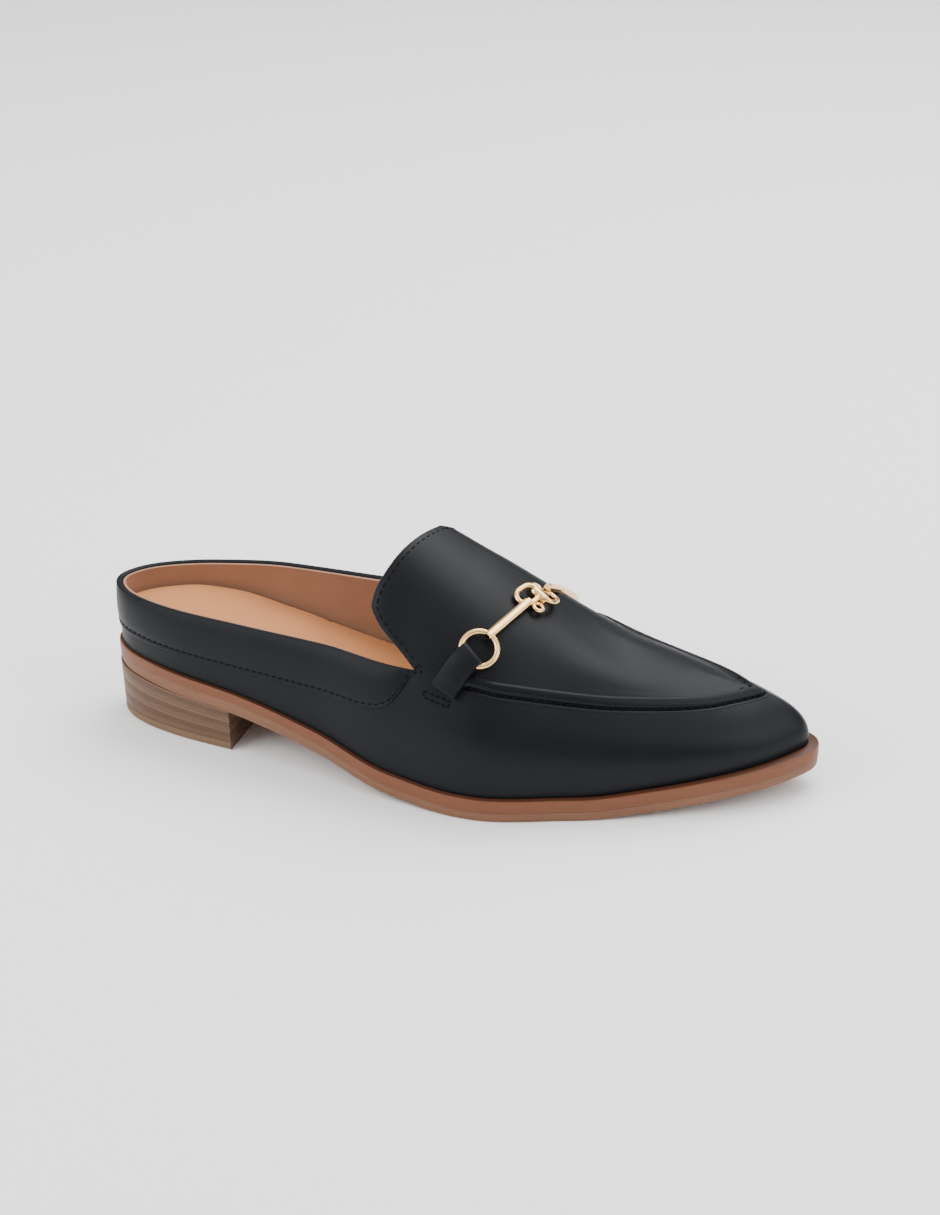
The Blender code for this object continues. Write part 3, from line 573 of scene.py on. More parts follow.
class Paint:
    """One material and its nodes."""

    def __init__(self, name, **constants):
        self.material = bpy.data.materials.new(name)
        self.material.use_nodes = True
        self.tree = self.material.node_tree
        self.shader = self.tree.nodes["Principled BSDF"]
        for socket, value in constants.items():
            self.shader.inputs[socket.replace("_", " ")].default_value = value
        self.material.diffuse_color = constants["Base_Color"]

    def node(self, kind, settings, inputs, output=0):
        new = self.tree.nodes.new(kind)
        for key, value in settings.items():
            setattr(new, key, value)
        for key, value in inputs.items():
            if isinstance(value, Socket):
                self.tree.links.new(value.output, new.inputs[key])
            else:
                new.inputs[key].default_value = value
        return Socket(self, new.outputs[output])

    def place(self):
        """Object coordinates in metres."""
        return self.node("ShaderNodeTexCoord", {}, {}, "Object")

    def axis(self, which):
        return self.node("ShaderNodeSeparateXYZ", {}, {0: self.place()}, which)

    def mapped(self, scale=(1, 1, 1), turn=(0, 0, 0)):
        return self.node("ShaderNodeMapping", {}, {"Vector": self.place(), "Scale": scale, "Rotation": turn})

    def noise(self, scale, detail=3.0, rough=0.5, vector=None):
        return self.node(
            "ShaderNodeTexNoise", {},
            {"Vector": vector or self.place(), "Scale": scale, "Detail": detail, "Roughness": rough})

    def cells(self, scale, feature="F1"):
        return self.node(
            "ShaderNodeTexVoronoi", {"feature": feature}, {"Vector": self.place(), "Scale": scale}, "Distance")

    def mix(self, share, first, second):
        return self.node("ShaderNodeMix", {"data_type": "RGBA"}, {0: share, 6: first, 7: second}, 2)

    def bump(self, height, distance, strength=1.0, under=None):
        inputs = {"Height": height, "Distance": distance, "Strength": strength}
        if under:
            inputs["Normal"] = under
        return self.node("ShaderNodeBump", {}, inputs)

    def set(self, socket, value):
        self.tree.links.new(value.output, self.shader.inputs[socket])


def colour(prop):
    return (*prop, 1.0)


def smooth_leather(name, base, light, rough=0.40, grain=0.00006):
    """Smooth box-calf leather: a fine pebble of cells with pores, faint cloudiness, and a soft wax sheen."""
    p = Paint(name, Base_Color=colour(base), Roughness=rough, Coat_Weight=0.04, Coat_Roughness=0.42,
              Specular_IOR_Level=0.12)
    cloud = p.noise(28.0, 4.0, 0.55)
    fine = p.noise(900.0, 2.0, 0.6)
    p.set("Base Color", p.mix((cloud * 0.9 + fine * 0.25 - 0.25).clamp(), colour(base), colour(light)))
    p.set("Roughness", (rough - 0.06 + cloud * 0.08 + fine * 0.08).clamp())
    pebble = p.cells(1500.0, "SMOOTH_F1")
    pore = p.noise(2600.0, 1.0, 0.5)
    swell = p.noise(60.0, 2.0, 0.5)
    low = p.bump(swell, 0.0012, 0.10)
    p.set("Normal", p.bump(pebble * 0.8 + pore * 0.35, grain, 0.5, low))
    return p.material


def lining_leather(name, base, light):
    """Thin pigskin lining: matt, with scattered pores and a soft blotch."""
    p = Paint(name, Base_Color=colour(base), Roughness=0.6, Specular_IOR_Level=0.3)
    cloud = p.noise(40.0, 4.0, 0.6)
    streak = p.noise(34.0, 3.0, 0.55, p.mapped((1.0, 1.0, 9.0)))
    pores = p.cells(900.0)
    p.set("Base Color", p.mix((cloud * 0.9 + streak * 0.6 - 0.3).clamp(), colour(base), colour(light)))
    p.set("Roughness", 0.52 + cloud * 0.16)
    p.set("Normal", p.bump(pores * 0.7 + p.noise(700.0, 2.0) * 0.4, 0.00012, 0.5))
    return p.material


def suede(name, base, light):
    """Brushed footbed suede: short nap seen as fine noise, with broad light and dark strokes."""
    p = Paint(name, Base_Color=colour(base), Roughness=0.9, Specular_IOR_Level=0.08)
    stroke = p.noise(22.0, 3.0, 0.5, p.mapped((0.6, 1.2, 1.0), (0, 0, 0.4)))
    nap = p.noise(1700.0, 3.0, 0.7)
    p.set("Base Color", p.mix((stroke * 0.9 + nap * 0.7 - 0.35).clamp(), colour(base), colour(light)))
    p.set("Normal", p.bump(nap, 0.00022, 0.6))
    return p.material


def edge_leather(name, base, light, rough=0.5, streak=1.0, lines=None):
    """Trimmed and burnished leather edge: fibres run along the sole, so the streaks are long in X and Y. The
    upward faces are darker, partly from the burnish and partly as painted shade. lines gives the socket of a
    pattern of light seams between layers."""
    p = Paint(name, Base_Color=colour(base), Roughness=rough, Coat_Weight=0.03, Coat_Roughness=0.4,
              Specular_IOR_Level=0.2)
    fibres = p.noise(90.0, 4.0, 0.65, p.mapped((1.0, 1.0, 16.0)))
    cloud = p.noise(34.0, 3.0, 0.5)
    fine = p.noise(1200.0, 2.0, 0.6)
    shade = (fibres * streak + cloud * 0.5 + fine * 0.3 - 0.4 * streak - 0.15).clamp()
    body = p.mix(shade, colour(base), colour(light))
    # Upward faces darkened by their normal: partly the burnish, partly painted shade where the upper overhangs the
    # sole
    facing = p.node("ShaderNodeSeparateXYZ", {}, {0: p.node("ShaderNodeNewGeometry", {}, {}, "Normal")}, 2)
    body = p.mix(facing.between(0.35, 0.9) * 0.8, body, colour([v * 0.35 for v in base]))
    if lines:
        seam, dark = lines(p)
        body = p.mix(seam, body, colour([min(v * 2.6, 1) for v in base]))
        body = p.mix(dark, body, colour([v * 0.62 for v in base]))
    p.set("Base Color", body)
    p.set("Roughness", rough - 0.08 + fine * 0.18)
    p.set("Normal", p.bump(fibres * 0.7 + fine * 0.3, 0.0003, 0.35))
    return p.material


def heel_seams(p):
    """Shares of the light seams and of the darker lower half of each layer. Level is the share of the way from the
    tread up to the sole's underside, which falls evenly from the back of the heel to its breast."""
    tall = HEEL_HEIGHT - TOP_PIECE - HEEL_FALL * float(ORIGIN[0])
    level = (p.axis(2) * 1000.0 - TOP_PIECE) / (tall - p.axis(0) * 1000.0 * HEEL_FALL)
    share = level.math("FRACT", level * HEEL_LAYERS)
    away = level.math("ABSOLUTE", share - 0.5) * 2.0
    return away.between(0.86, 0.97) * 0.55, share.between(0.35, 0.62) * 0.5


def polished_metal(name, base):
    """Plated metal: bright, with faint polishing marks and a little dulling."""
    p = Paint(name, Base_Color=colour(base), Metallic=1.0, Roughness=0.2)
    haze = p.noise(260.0, 3.0, 0.5)
    p.set("Roughness", 0.15 + haze * 0.16)
    p.set("Normal", p.bump(p.noise(1500.0, 2.0), 0.00002, 0.3))
    return p.material


def waxed_thread(name, base):
    """Waxed sewing thread with a fine twist."""
    p = Paint(name, Base_Color=colour(base), Roughness=0.8, Specular_IOR_Level=0.1)
    p.set("Normal", p.bump(p.noise(4200.0, 1.0), 0.00008, 0.6))
    return p.material


# Upper

def groove_offset(turn):
    place, side = fold(turn)
    return by_side(GROOVE, side, np.maximum(place, 0))


def seam_relief(turn, angle):
    """Moccasin seam: a sewn groove, then the plug's rolled edge, which swells up convexly and drops sharply to the
    plug. s is the distance from the groove along the section, in millimetres, positive towards the plug."""
    place, side = fold(turn)
    top = top_angle(turn)
    s = (angle - top) * wall_scale(turn, top) - groove_offset(turn)
    roll = follow(GROOVE, "roll", np.maximum(place, 0))
    strength = ease(0.045, 0.10, place) * np.where(side < 0, 1.0, 0.4 + 0.6 * ease(0.2, 0.32, place))
    swell = ROLL_HEIGHT * (1 - (1 - np.clip(s / roll, 0, 1)) ** 2.2)
    foot = roll + ROLL_DROP
    drop = ease(roll, foot, s)
    after = 0.10 * (1 - ease(foot, foot + 3.0, s))
    relief = np.where(s < roll, swell, ROLL_HEIGHT * (1 - drop) + after * drop)
    relief = relief - GROOVE_DEPTH * hump(s, -0.1, 0.6) + 0.12 * hump(s, -1.4, 0.5)
    return strength * relief


def creases(turn, angle):
    """Form of the leather: a shallow hollow under the seam beside the ball on both sides, a slight break across
    the vamp behind the ball, a soft pull towards the tabs' feet, and a saddle in the ridge between the bit and the
    toe."""
    place, side = fold(turn)
    top = top_angle(turn)
    low = np.clip(angle / top, 0, 1)
    above = np.clip((angle - top) / (RIGHT_ANGLE - top), 0, 1)
    hollow = -0.30 * hump(place, 0.42, 0.22) * hump(low, 0.78, 0.16) * (angle <= top)
    pull = -0.25 * hump(place, 0.06, 0.035) * hump(low, 0.85, 0.2)
    vamp_break = 0.16 * hump(place, 0.36, 0.05) * hump(above, 0.45, 0.35)
    vamp_break += -0.14 * hump(place, 0.44, 0.04) * hump(above, 0.5, 0.35)
    saddle = -1.6 * hump(place, 0.36, 0.12) * np.where(side > 0, ease(0.0, 0.22, above), ease(0.3, 0.85, above))
    return hollow + pull + (vamp_break + saddle) * (angle > top)


def upper_point(turn, angle, depth, rounding=0.0):
    """Outer face of the leather where depth is 0, and deeper in the wall where it is more. rounding lowers the
    face at the vamp's rear edge."""
    shift = (seam_relief(turn, angle) + creases(turn, angle) - rounding) * np.exp(-depth / 1.5)
    return section(turn, angle) + section_normal(turn, angle) * (shift - depth)[..., None]


def upper_layer(low_rows, high_rows, columns_rear, columns_front, depth_out, depth_in):
    """Closed layer of the lasted upper between two depths. Columns go right round the shoe. Rows climb from the
    feather line to the collar or seam and, in front of the notch, on to the ridge where both sides meet."""
    rear = np.linspace(-1, 0, columns_rear + 1)
    edge = [0.0015, 0.003, 0.005, 0.0075]
    lateral = np.concatenate([rear, edge, np.linspace(0.011, 1, columns_front - 3)])
    turns = np.concatenate([lateral, (2 - lateral[1:-1])[::-1]])
    count = len(turns)
    n = len(lateral) - 1
    top = top_angle(turns)
    low = top[:, None] * low_rows
    up = high_rows[None, :]
    high = top[:, None] + (RIGHT_ANGLE - top)[:, None] * up
    front = np.flatnonzero(fold(turns)[0] >= -1e-9)
    turn_low = np.repeat(turns[:, None], low.shape[1], 1)
    turn_high = setback(np.repeat(turns[front, None], high.shape[1], 1), np.repeat(up, len(front), 0))
    rounding = 0.5 * hump(fold(turns)[0][front, None], 0.0, 0.0045) * ease(0.0, 0.08, up)
    sets = []
    for depth in (depth_out, depth_in):
        a = upper_point(turn_low, low, np.full_like(low, depth))
        a[:, 0, 2] = sole_top(feather(turns)[:, 0]) + GAP
        b = upper_point(turn_high, high[front], np.full_like(high[front], depth), rounding)
        sets.append((a, b))
    rows = low.shape[1] + high.shape[1]
    index = np.full((count, rows), -1)
    index[:, : low.shape[1]] = np.arange(count * low.shape[1]).reshape(count, -1)
    start = count * low.shape[1]
    index[front, low.shape[1]:] = start + np.arange(len(front) * high.shape[1]).reshape(len(front), -1)
    twin = (2 * n - np.arange(count)) % count
    later = np.arange(count) > n
    later &= np.isin(np.arange(count), front)
    index[later, -1] = index[twin[later], -1]
    total = start + len(front) * high.shape[1]
    around = np.concatenate([index, index[:1]], 0)
    outer = grid_quads(around.T)
    faces = outer + [[v + total for v in f[::-1]] for f in outer]
    base = np.append(index[:, 0], index[0, 0])
    faces += np.stack([base[:-1], base[:-1] + total, base[1:] + total, base[1:]], -1).tolist()
    rim_columns = np.arange(front[-1], front[-1] + (front[0] - front[-1]) % count + 1) % count
    rim = np.concatenate([
        index[rim_columns, low.shape[1] - 1],
        index[front[0], low.shape[1]:],
        index[front[-1], low.shape[1]: -1][::-1]])
    rim = np.append(rim, rim[0])
    faces += np.stack([rim[:-1], rim[1:], rim[1:] + total, rim[:-1] + total], -1).tolist()
    points = np.concatenate([np.concatenate([a.reshape(-1, 3), b.reshape(-1, 3)]) for a, b in sets])
    return points, faces


def ear_edge(back, count=140):
    """Path beside the vamp's rear edge, from the outer notch over the ridge to the inner one, and its normals.
    back is how far it lies in front of the edge in millimetres."""
    up = np.linspace(0.02, 0.995, count)
    sides = []
    for base in (0.0, 2.0):
        turn = np.full(count, base)
        top = top_angle(turn)
        angle = top + (RIGHT_ANGLE - top) * up
        moved = setback(turn, up)
        sides.append((section(moved, angle), section_normal(moved, angle)))
    path = np.concatenate([sides[0][0], sides[1][0][::-1]])
    normals = np.concatenate([sides[0][1], sides[1][1][::-1]])
    forward = unit(np.cross(unit(np.gradient(path, axis=0)), normals))
    return path + forward * back - normals * (0.02 * back**2), normals


def seam_path(offset, start, stop, over_roll=0.0, count=500):
    """Path beside the moccasin seam's groove, at an offset in millimetres along the section, from one turn to
    another. over_roll adds that share of the rolled edge's width."""
    turn = np.linspace(start, stop, count)
    top = top_angle(turn)
    wide = follow(GROOVE, "roll", np.maximum(fold(turn)[0], 0))
    angle = top + (offset + over_roll * wide + groove_offset(turn)) / wall_scale(turn, top)
    return upper_point(turn, angle, np.zeros(count)), section_normal(turn, angle)


def surface_path(corners, steps=10):
    """Closed path on the upper through corners given as turn and angle."""
    corners = np.array(corners)
    share = np.arange(steps)[:, None] / steps
    legs = [a + (b - a) * share for a, b in zip(corners, np.roll(corners, -1, 0))]
    spots = np.concatenate([*legs, corners[:1]])
    return section(spots[:, 0], spots[:, 1]), section_normal(spots[:, 0], spots[:, 1])


def band_edge_angle(turn):
    place = fold(turn)[0]
    drop = COLLAR_HEIGHT * follow(BAND, "drop", 1 + np.minimum(place, 0))
    return np.minimum(angle_at(turn, collar_z(station_x(place)) - drop), 0.995 * top_angle(turn))


def band_turns(count=420):
    """Turns of the collar band, from the inner notch round the heel to the outer one, closest at its ends."""
    share = np.linspace(-1, 1, count)
    return 3 + np.sin(share * RIGHT_ANGLE) * 0.9995


def collar_band():
    """Closed loop carried round the heel: up the outer face of the wall, over the collar and a little way down
    inside. A channel for the stitches runs just above its raised lower edge."""
    turns = band_turns()
    top, edge = top_angle(turns), band_edge_angle(turns)
    tall = (top - edge) * wall_scale(turns, top)
    up, out = BAND_PROFILE["up"], BAND_PROFILE["out"]
    wide = np.maximum(tall, 2.6) / 15.0
    share = np.minimum(up[None, :] / 15.0 / np.minimum(wide, 1)[:, None], 0.96)
    share = np.maximum.accumulate(share + np.arange(len(up)) * 1e-4, axis=1)
    end = np.abs(turns - 3)
    ends = 1 - ease(0.982, 1.0, end) * 0.75
    angle = edge[:, None] + (top - edge)[:, None] * share
    turn = np.repeat(turns[:, None], len(up), 1)
    outer = section(turn, angle) + section_normal(turn, angle) * (out * ends[:, None])[..., None]
    roll = np.linspace(0.12, np.pi, 9)
    inside = 0.9
    depth = (out[-1] + 0.08 + inside) / 2 * ends
    middle = (out[-1] + 0.08) * ends - depth
    at = section(turns, top)
    normal = section_normal(turns, top)
    rise = unit(section(turns, top + 0.02) - section(turns, top - 0.02))
    arc = (
        at[:, None]
        + normal[:, None] * (middle[:, None] + depth[:, None] * np.cos(roll))[..., None]
        + rise[:, None] * (0.5 * np.sin(roll))[None, :, None])
    hidden_angle = np.stack([top - 0.5 * (top - edge), edge + 0.1 * (top - edge)], 1)
    turn2 = np.repeat(turns[:, None], 2, 1)
    hidden = section(turn2, hidden_angle) - section_normal(turn2, hidden_angle) * 0.3
    return tube(np.concatenate([outer, arc, hidden], 1))


# Sole and heel

# Edges from below upwards: inset in millimetres, and share of the layer's height, or height for the tread
WELT_PROFILE = (
    (0.16, 0.0), (0.04, 0.02), (0.0, 0.08), (0.0, 0.3), (0.0, 0.7), (0.05, 0.86), (0.22, 0.95), (0.6, 1.0))
OUTSOLE_PROFILE = (
    (1.2, 0.0), (0.62, 0.05), (0.36, 0.18), (0.24, 0.35), (0.14, 0.90), (0.16, 0.98), (0.22, 1.0))
TREAD_PROFILE = (
    (2.6, 0.0), (2.0, 0.14), (1.72, 0.5), (1.62, 1.0), (1.6, 2.9), (1.68, 3.12), (1.9, TOP_PIECE))


def closed_layer(points):
    """Rings of points with the last closed above and the first below."""
    faces, index = rings(points)
    return points.reshape(-1, 3), faces + strips(index[-1]) + [f[::-1] for f in strips(index[0])]


def sole_layer(profile, count=560):
    """Layer of the sole: rings round the outline, each at an inset and a height given by a function of x, closed
    above and below by strips from the outer side to the inner."""
    turns = np.linspace(-1, 3, count, endpoint=False)
    points = []
    for inset, height in profile:
        plan = inset_edge(turns, inset + seat_trim(turns))
        points.append(np.column_stack([plan, height(plan[:, 0])]))
    return closed_layer(np.stack(points))


def heel_layer(profile, count=150):
    """Layer of the heel: rings round the back of the outline at an inset and height each, closed by a flat breast
    in front."""
    end = place_at(HEEL_BREAST_X)
    places = np.linspace(-1, end, count)
    turns = np.concatenate([places, (2 - places[1:])[::-1]])
    points = []
    for inset, height in profile:
        plan = inset_edge(turns, np.maximum(inset, seat_trim(turns) + inset - HEEL_INSET))
        plan[:, 0] = np.minimum(plan[:, 0], HEEL_BREAST_X - max(inset - HEEL_INSET - 0.8, 0) * 0.4)
        plan[count - 1: count + 1, 0] = HEEL_BREAST_X
        points.append(np.column_stack([plan, height(plan[:, 0])]))
    return closed_layer(np.stack(points))


# Footbed

# Ends of the sewn seam across the footbed, in plan
SEAM_A = np.array([70.0, 31.5])
SEAM_B = np.array([115.0, -38.0])


def footbed_point(turn, out):
    """Top of the moulded footbed: centre line out to its edge, cupped with the square of the share, sunk in a sewn
    groove across the arch, and rounded over at the edge."""
    place = fold(turn)[0]
    inset = follow(FEATHER, "inset", station_x(place) / SOLE_LENGTH) + WALL + 0.75
    edge = inset_edge(turn, inset)
    reach = 0.9 * np.where(place > 0, SPINE_END_X - NOTCH_X, NOTCH_X - SPINE_START_X)
    x = NOTCH_X + np.sign(place) * reach * (1 - (1 - np.abs(place)) ** 1.6)
    centre = np.stack([x, 0.5 * axis_y(x)], -1)
    plan = centre + (edge - centre) * out[..., None]
    share = plan[..., 0] / SOLE_LENGTH
    thick = 4.4 + 5.8 * (1 - ease(0.40, 0.85, share))
    arch = 1.2 * hump(share, 0.10, 0.045) - 3.0 * ease(0.145, 0.23, share) * (1 - ease(0.38, 0.52, share))
    cup = (3.4 * (1 - ease(0.45, 0.80, share)) + 1.8 * (1 - ease(0.17, 0.36, share)) + arch) * out**2
    roll = 1.15 * np.clip((out - 0.93) / 0.07, 0, 1) ** 2.2
    along = unit(SEAM_B - SEAM_A)
    gap = (plan - SEAM_A) @ np.array([-along[1], along[0]])
    pinch = 0.5 + 0.5 * np.cos((plan - SEAM_A) @ along * 2 * np.pi / 2.6)
    groove = 0.30 * hump(gap, 0.0, 0.5) + 0.28 * pinch * (hump(gap, 2.2, 0.7) + hump(gap, -2.2, 0.7))
    z = sole_top(plan[..., 0]) + GAP + thick + cup - roll - groove
    return np.concatenate([plan, z[..., None]], -1)


def footbed(count=400):
    turns = np.linspace(-1, 3, count, endpoint=False)
    out = np.concatenate([[1.0, 1.0], 1 - np.linspace(0, 1, 60)[1:] ** 1.25])
    turn, share = np.meshgrid(turns, out)
    points = footbed_point(turn, share)
    points[0, :, 2] = sole_top(points[0, :, 0]) + GAP
    faces, index = rings(points[:-1])
    half = count // 2
    spine_row = points[-1, : half + 1]
    start = (len(out) - 1) * count
    last = start + np.minimum(np.arange(count), (-np.arange(count)) % count)
    closing = np.stack([np.append(index[-1], index[-1][0]), np.append(last, last[0])])
    faces += grid_quads(closing) + [f[::-1] for f in strips(index[0])]
    return np.concatenate([points[:-1].reshape(-1, 3), spine_row]), faces


# Bit

BIT = {
    "ring_lateral": (0.5727, -0.3786),
    "centre": (0.6193, -0.0471),
    "ring_medial": (0.640, 0.352),
    "foot_lateral": (0.536, -0.4885),
    "foot_medial": (0.603, 0.408)}
TAB_CLEARANCE = {"lateral": 0.5, "medial": 0.95}
TAB_WIDTH = 9.4
TAB_THICKNESS = 2.4
TAB_SWELL = 5.2
TAB_TOP = 1.6
RING_RADIUS = 6.2
RING_WIRE = 1.08
RING_LIFT = {"lateral": 2.9, "medial": 1.8}
BAR_WIDTH = 2.8
BAR_THICKNESS = 2.5
BAR_LIFT = 1.9
BAR_RISE = {"lateral": 2.2, "medial": 1.2}
BAR_RISE_LINK = 0.9
BAR_STRAIGHT = {"lateral": 1.0, "medial": 0.75}
BAR_RAISE = {"lateral": 0.0, "medial": 1.3}
LINK_WIRE = 0.98
LINK_WIDTH = 6.4
LINK_LENGTH = 8.4
LINK_LIFT = 2.4
LINK_TILT = math.radians(18.0)
BARREL_RADIUS = 1.85
BARREL_LENGTH = 6.4
BARREL_LIFT = 2.9
EYE_RADIUS = 1.7
EYE_WIRE = 0.75
EYE_LIFT = 1.6

# Tab from the ring to its foot: swell and lift as shares of the CAD sizes, and width as a share
TAB = table("along", "swell", "lift", "width", rows=[
    (0.00, 0.40, 0.375, 0.92),
    (0.12, 0.97, 0.06, 0.97),
    (0.30, 1.00, 0.00, 1.00),
    (0.65, 0.55, 0.00, 1.00),
    (1.00, 0.00, 0.00, 1.00)])

# Cross-section of a tab: two layers with rounded edges and a slit between them, in shares of width and thickness
TAB_HALF = [
    (0.46, -0.48), (0.5, -0.34), (0.5, -0.06), (0.475, 0.0), (0.5, 0.06), (0.5, 0.34), (0.475, 0.46), (0.43, 0.5)]
TAB_PROFILE = [(-0.5, -0.34), (-0.46, -0.48), *TAB_HALF, (-0.43, 0.5), (-0.475, 0.46), (-0.5, 0.34), (-0.5, 0.06),
               (-0.475, 0.0), (-0.5, -0.06)]

# Cross-section of a bar: flat below and chamfered above
BAR_PROFILE = [(-0.5, -0.4), (-0.4, -0.5), (0.4, -0.5), (0.5, -0.4), (0.5, 0.2), (0.22, 0.5), (-0.22, 0.5),
               (-0.5, 0.2)]

# Corners of the stitched box below the outer tab's foot, as turn and angle from that foot's own spot
FOOT_BOX = ((-0.0364, -0.0446), (0.0138, -0.0351), (0.0088, -0.0696), (-0.0340, -0.0782))


# Corners of the small stitched box at the outer notch, where the vamp is sewn down on the band, in millimetres
NOTCH_BOX = np.array([
    (129.85, -38.67, 51.72),
    (131.62, -39.18, 50.69),
    (131.29, -39.86, 49.06),
    (128.93, -39.80, 48.88)])


def bit_plan(name):
    along, side = BIT[name]
    return np.array([along * SOLE_LENGTH, side * BALL_WIDTH])


def frame_at(normal, along):
    normal = unit(normal)
    first = unit(along - normal * np.dot(along, normal))
    return first, np.cross(normal, first), normal


def wire_loop(centre, axes, length, width, wire, around=96):
    """Closed ring of round wire: a circle of the width, pulled apart along the first axis to the length."""
    a = np.linspace(0, 2 * np.pi, around, endpoint=False) + np.pi / around
    pull = (length - width) / 2
    path = np.stack([width / 2 * np.cos(a) + pull * np.tanh(6 * np.cos(a)), width / 2 * np.sin(a)], 1)
    run = unit(np.roll(path, -1, 0) - np.roll(path, 1, 0))
    out = np.stack([run[:, 1], -run[:, 0]], 1)
    b = np.linspace(0, 2 * np.pi, 20, endpoint=False)
    plan = path[:, None] + out[:, None] * wire * np.cos(b)[None, :, None]
    first, second, normal = axes
    points = centre + plan[..., :1] * first + plan[..., 1:] * second + (wire * np.sin(b))[None, :, None] * normal
    n, m = points.shape[:2]
    index = np.arange(n * m).reshape(n, m)
    index = np.concatenate([index, index[:1]], 0)
    index = np.concatenate([index, index[:, :1]], 1)
    return points.reshape(-1, 3), [f[::-1] for f in grid_quads(index)]


def laid(start, end, count):
    """Points and normals of the upper above evenly spaced plan points from start to end."""
    found = [on_upper(*(start + (end - start) * share)) for share in np.linspace(0, 1, count)]
    return [np.array(part) for part in zip(*found)]


def bar_path(start, end, lift, straight):
    """Path at a lift over the upper, moved towards its own chord by a share of the way, with sides and normals."""
    spots, normals = laid(start, end, len(lift))
    path = spots + normals * lift[:, None]
    normals = squared(path, normals)[1]
    chord = path[0] + (path[-1] - path[0]) * np.linspace(0, 1, len(path))[:, None]
    path = path + (chord - path) * straight
    return path, *squared(path, normals)


class LoaferSizes(bpy.types.PropertyGroup):
    thread_radius: FloatProperty(
        name="Thread radius", description="Half the thread's thickness, in mm", default=0.26, min=0.1, max=0.6)
    stitch_pitch: FloatProperty(
        name="Stitch pitch", description="From one stitch to the next, in mm", default=2.7, min=1.5, max=6.0)
    leather_depth: FloatProperty(
        name="Outer leather", description="Black leather over the lining, in mm", default=1.25, min=0.6, max=2.0)


def tint(text, *value):
    return FloatVectorProperty(name=text, description="Base colour, linear", subtype="COLOR", default=value)


class LoaferColours(bpy.types.PropertyGroup):
    leather: tint("Black upper", 0.0030, 0.0036, 0.0052)
    leather_light: tint("Upper's lighter clouds", 0.0055, 0.0064, 0.0090)
    lining: tint("Lining", 0.27, 0.135, 0.078)
    lining_light: tint("Lining's lighter blotches", 0.36, 0.20, 0.125)
    footbed: tint("Suede footbed", 0.49, 0.200, 0.080)
    footbed_light: tint("Footbed's raised nap", 0.61, 0.27, 0.120)
    welt: tint("Upper band of the sole's edge", 0.135, 0.050, 0.024)
    sole: tint("Lower band of the sole's edge", 0.135, 0.064, 0.036)
    heel: tint("Heel's leather layers", 0.100, 0.055, 0.033)
    tread: tint("Heel's top piece", 0.15, 0.092, 0.054)
    raw_edge: tint("Cut edge of the vamp", 0.055, 0.042, 0.034)
    gold: tint("Plated bit", 0.88, 0.57, 0.24)
    thread: tint("Black sewing thread", 0.003, 0.003, 0.0035)
    floor: tint("Studio floor", 0.97, 0.97, 0.97)


def sizes():
    return bpy.context.scene.loafer_sizes


def colours():
    return bpy.context.scene.loafer_colours


class LOAFER_OT_upper(bpy.types.Operator):
    """Black lasted leather of the vamp and quarter, with its moccasin seam and creases"""
    bl_idname = "loafer.upper"
    bl_label = "Upper"

    def execute(self, context):
        c = colours()
        leather = smooth_leather("black_calf", c.leather, c.leather_light)
        # Rows lie closest on both sides of the moccasin seam
        low = np.concatenate([np.linspace(0, 0.72, 14), np.linspace(0.72, 1, 26)[1:]])
        high = np.concatenate([np.linspace(0, 0.30, 44)[1:], np.linspace(0.30, 1, 22)[1:]])
        put_mesh(
            "upper_leather", *upper_layer(low, high, 66, 186, 0.0, sizes().leather_depth),
            leather, "upper_leather", "upper", smooth=50)
        return {"FINISHED"}


class LOAFER_OT_lining(bpy.types.Operator):
    """Tan lining inside the upper, up to the collar and the vamp's edge"""
    bl_idname = "loafer.lining"
    bl_label = "Lining"

    def execute(self, context):
        c = colours()
        leather = lining_leather("tan_lining", c.lining, c.lining_light)
        low = np.linspace(0, 1, 26)
        high = np.linspace(0, 1, 36)[1:]
        put_mesh(
            "lining", *upper_layer(low, high, 90, 110, sizes().leather_depth + 0.02, WALL),
            leather, "footbed_suede", smooth=50)
        return {"FINISHED"}


class LOAFER_OT_collar(bpy.types.Operator):
    """Collar band rolled over the rim of the heel and quarters"""
    bl_idname = "loafer.collar"
    bl_label = "Collar band"

    def execute(self, context):
        c = colours()
        leather = smooth_leather("collar_calf", c.leather, c.leather_light, rough=0.4)
        put_mesh("collar_band", *collar_band(), leather, "upper_leather", smooth=60)
        return {"FINISHED"}


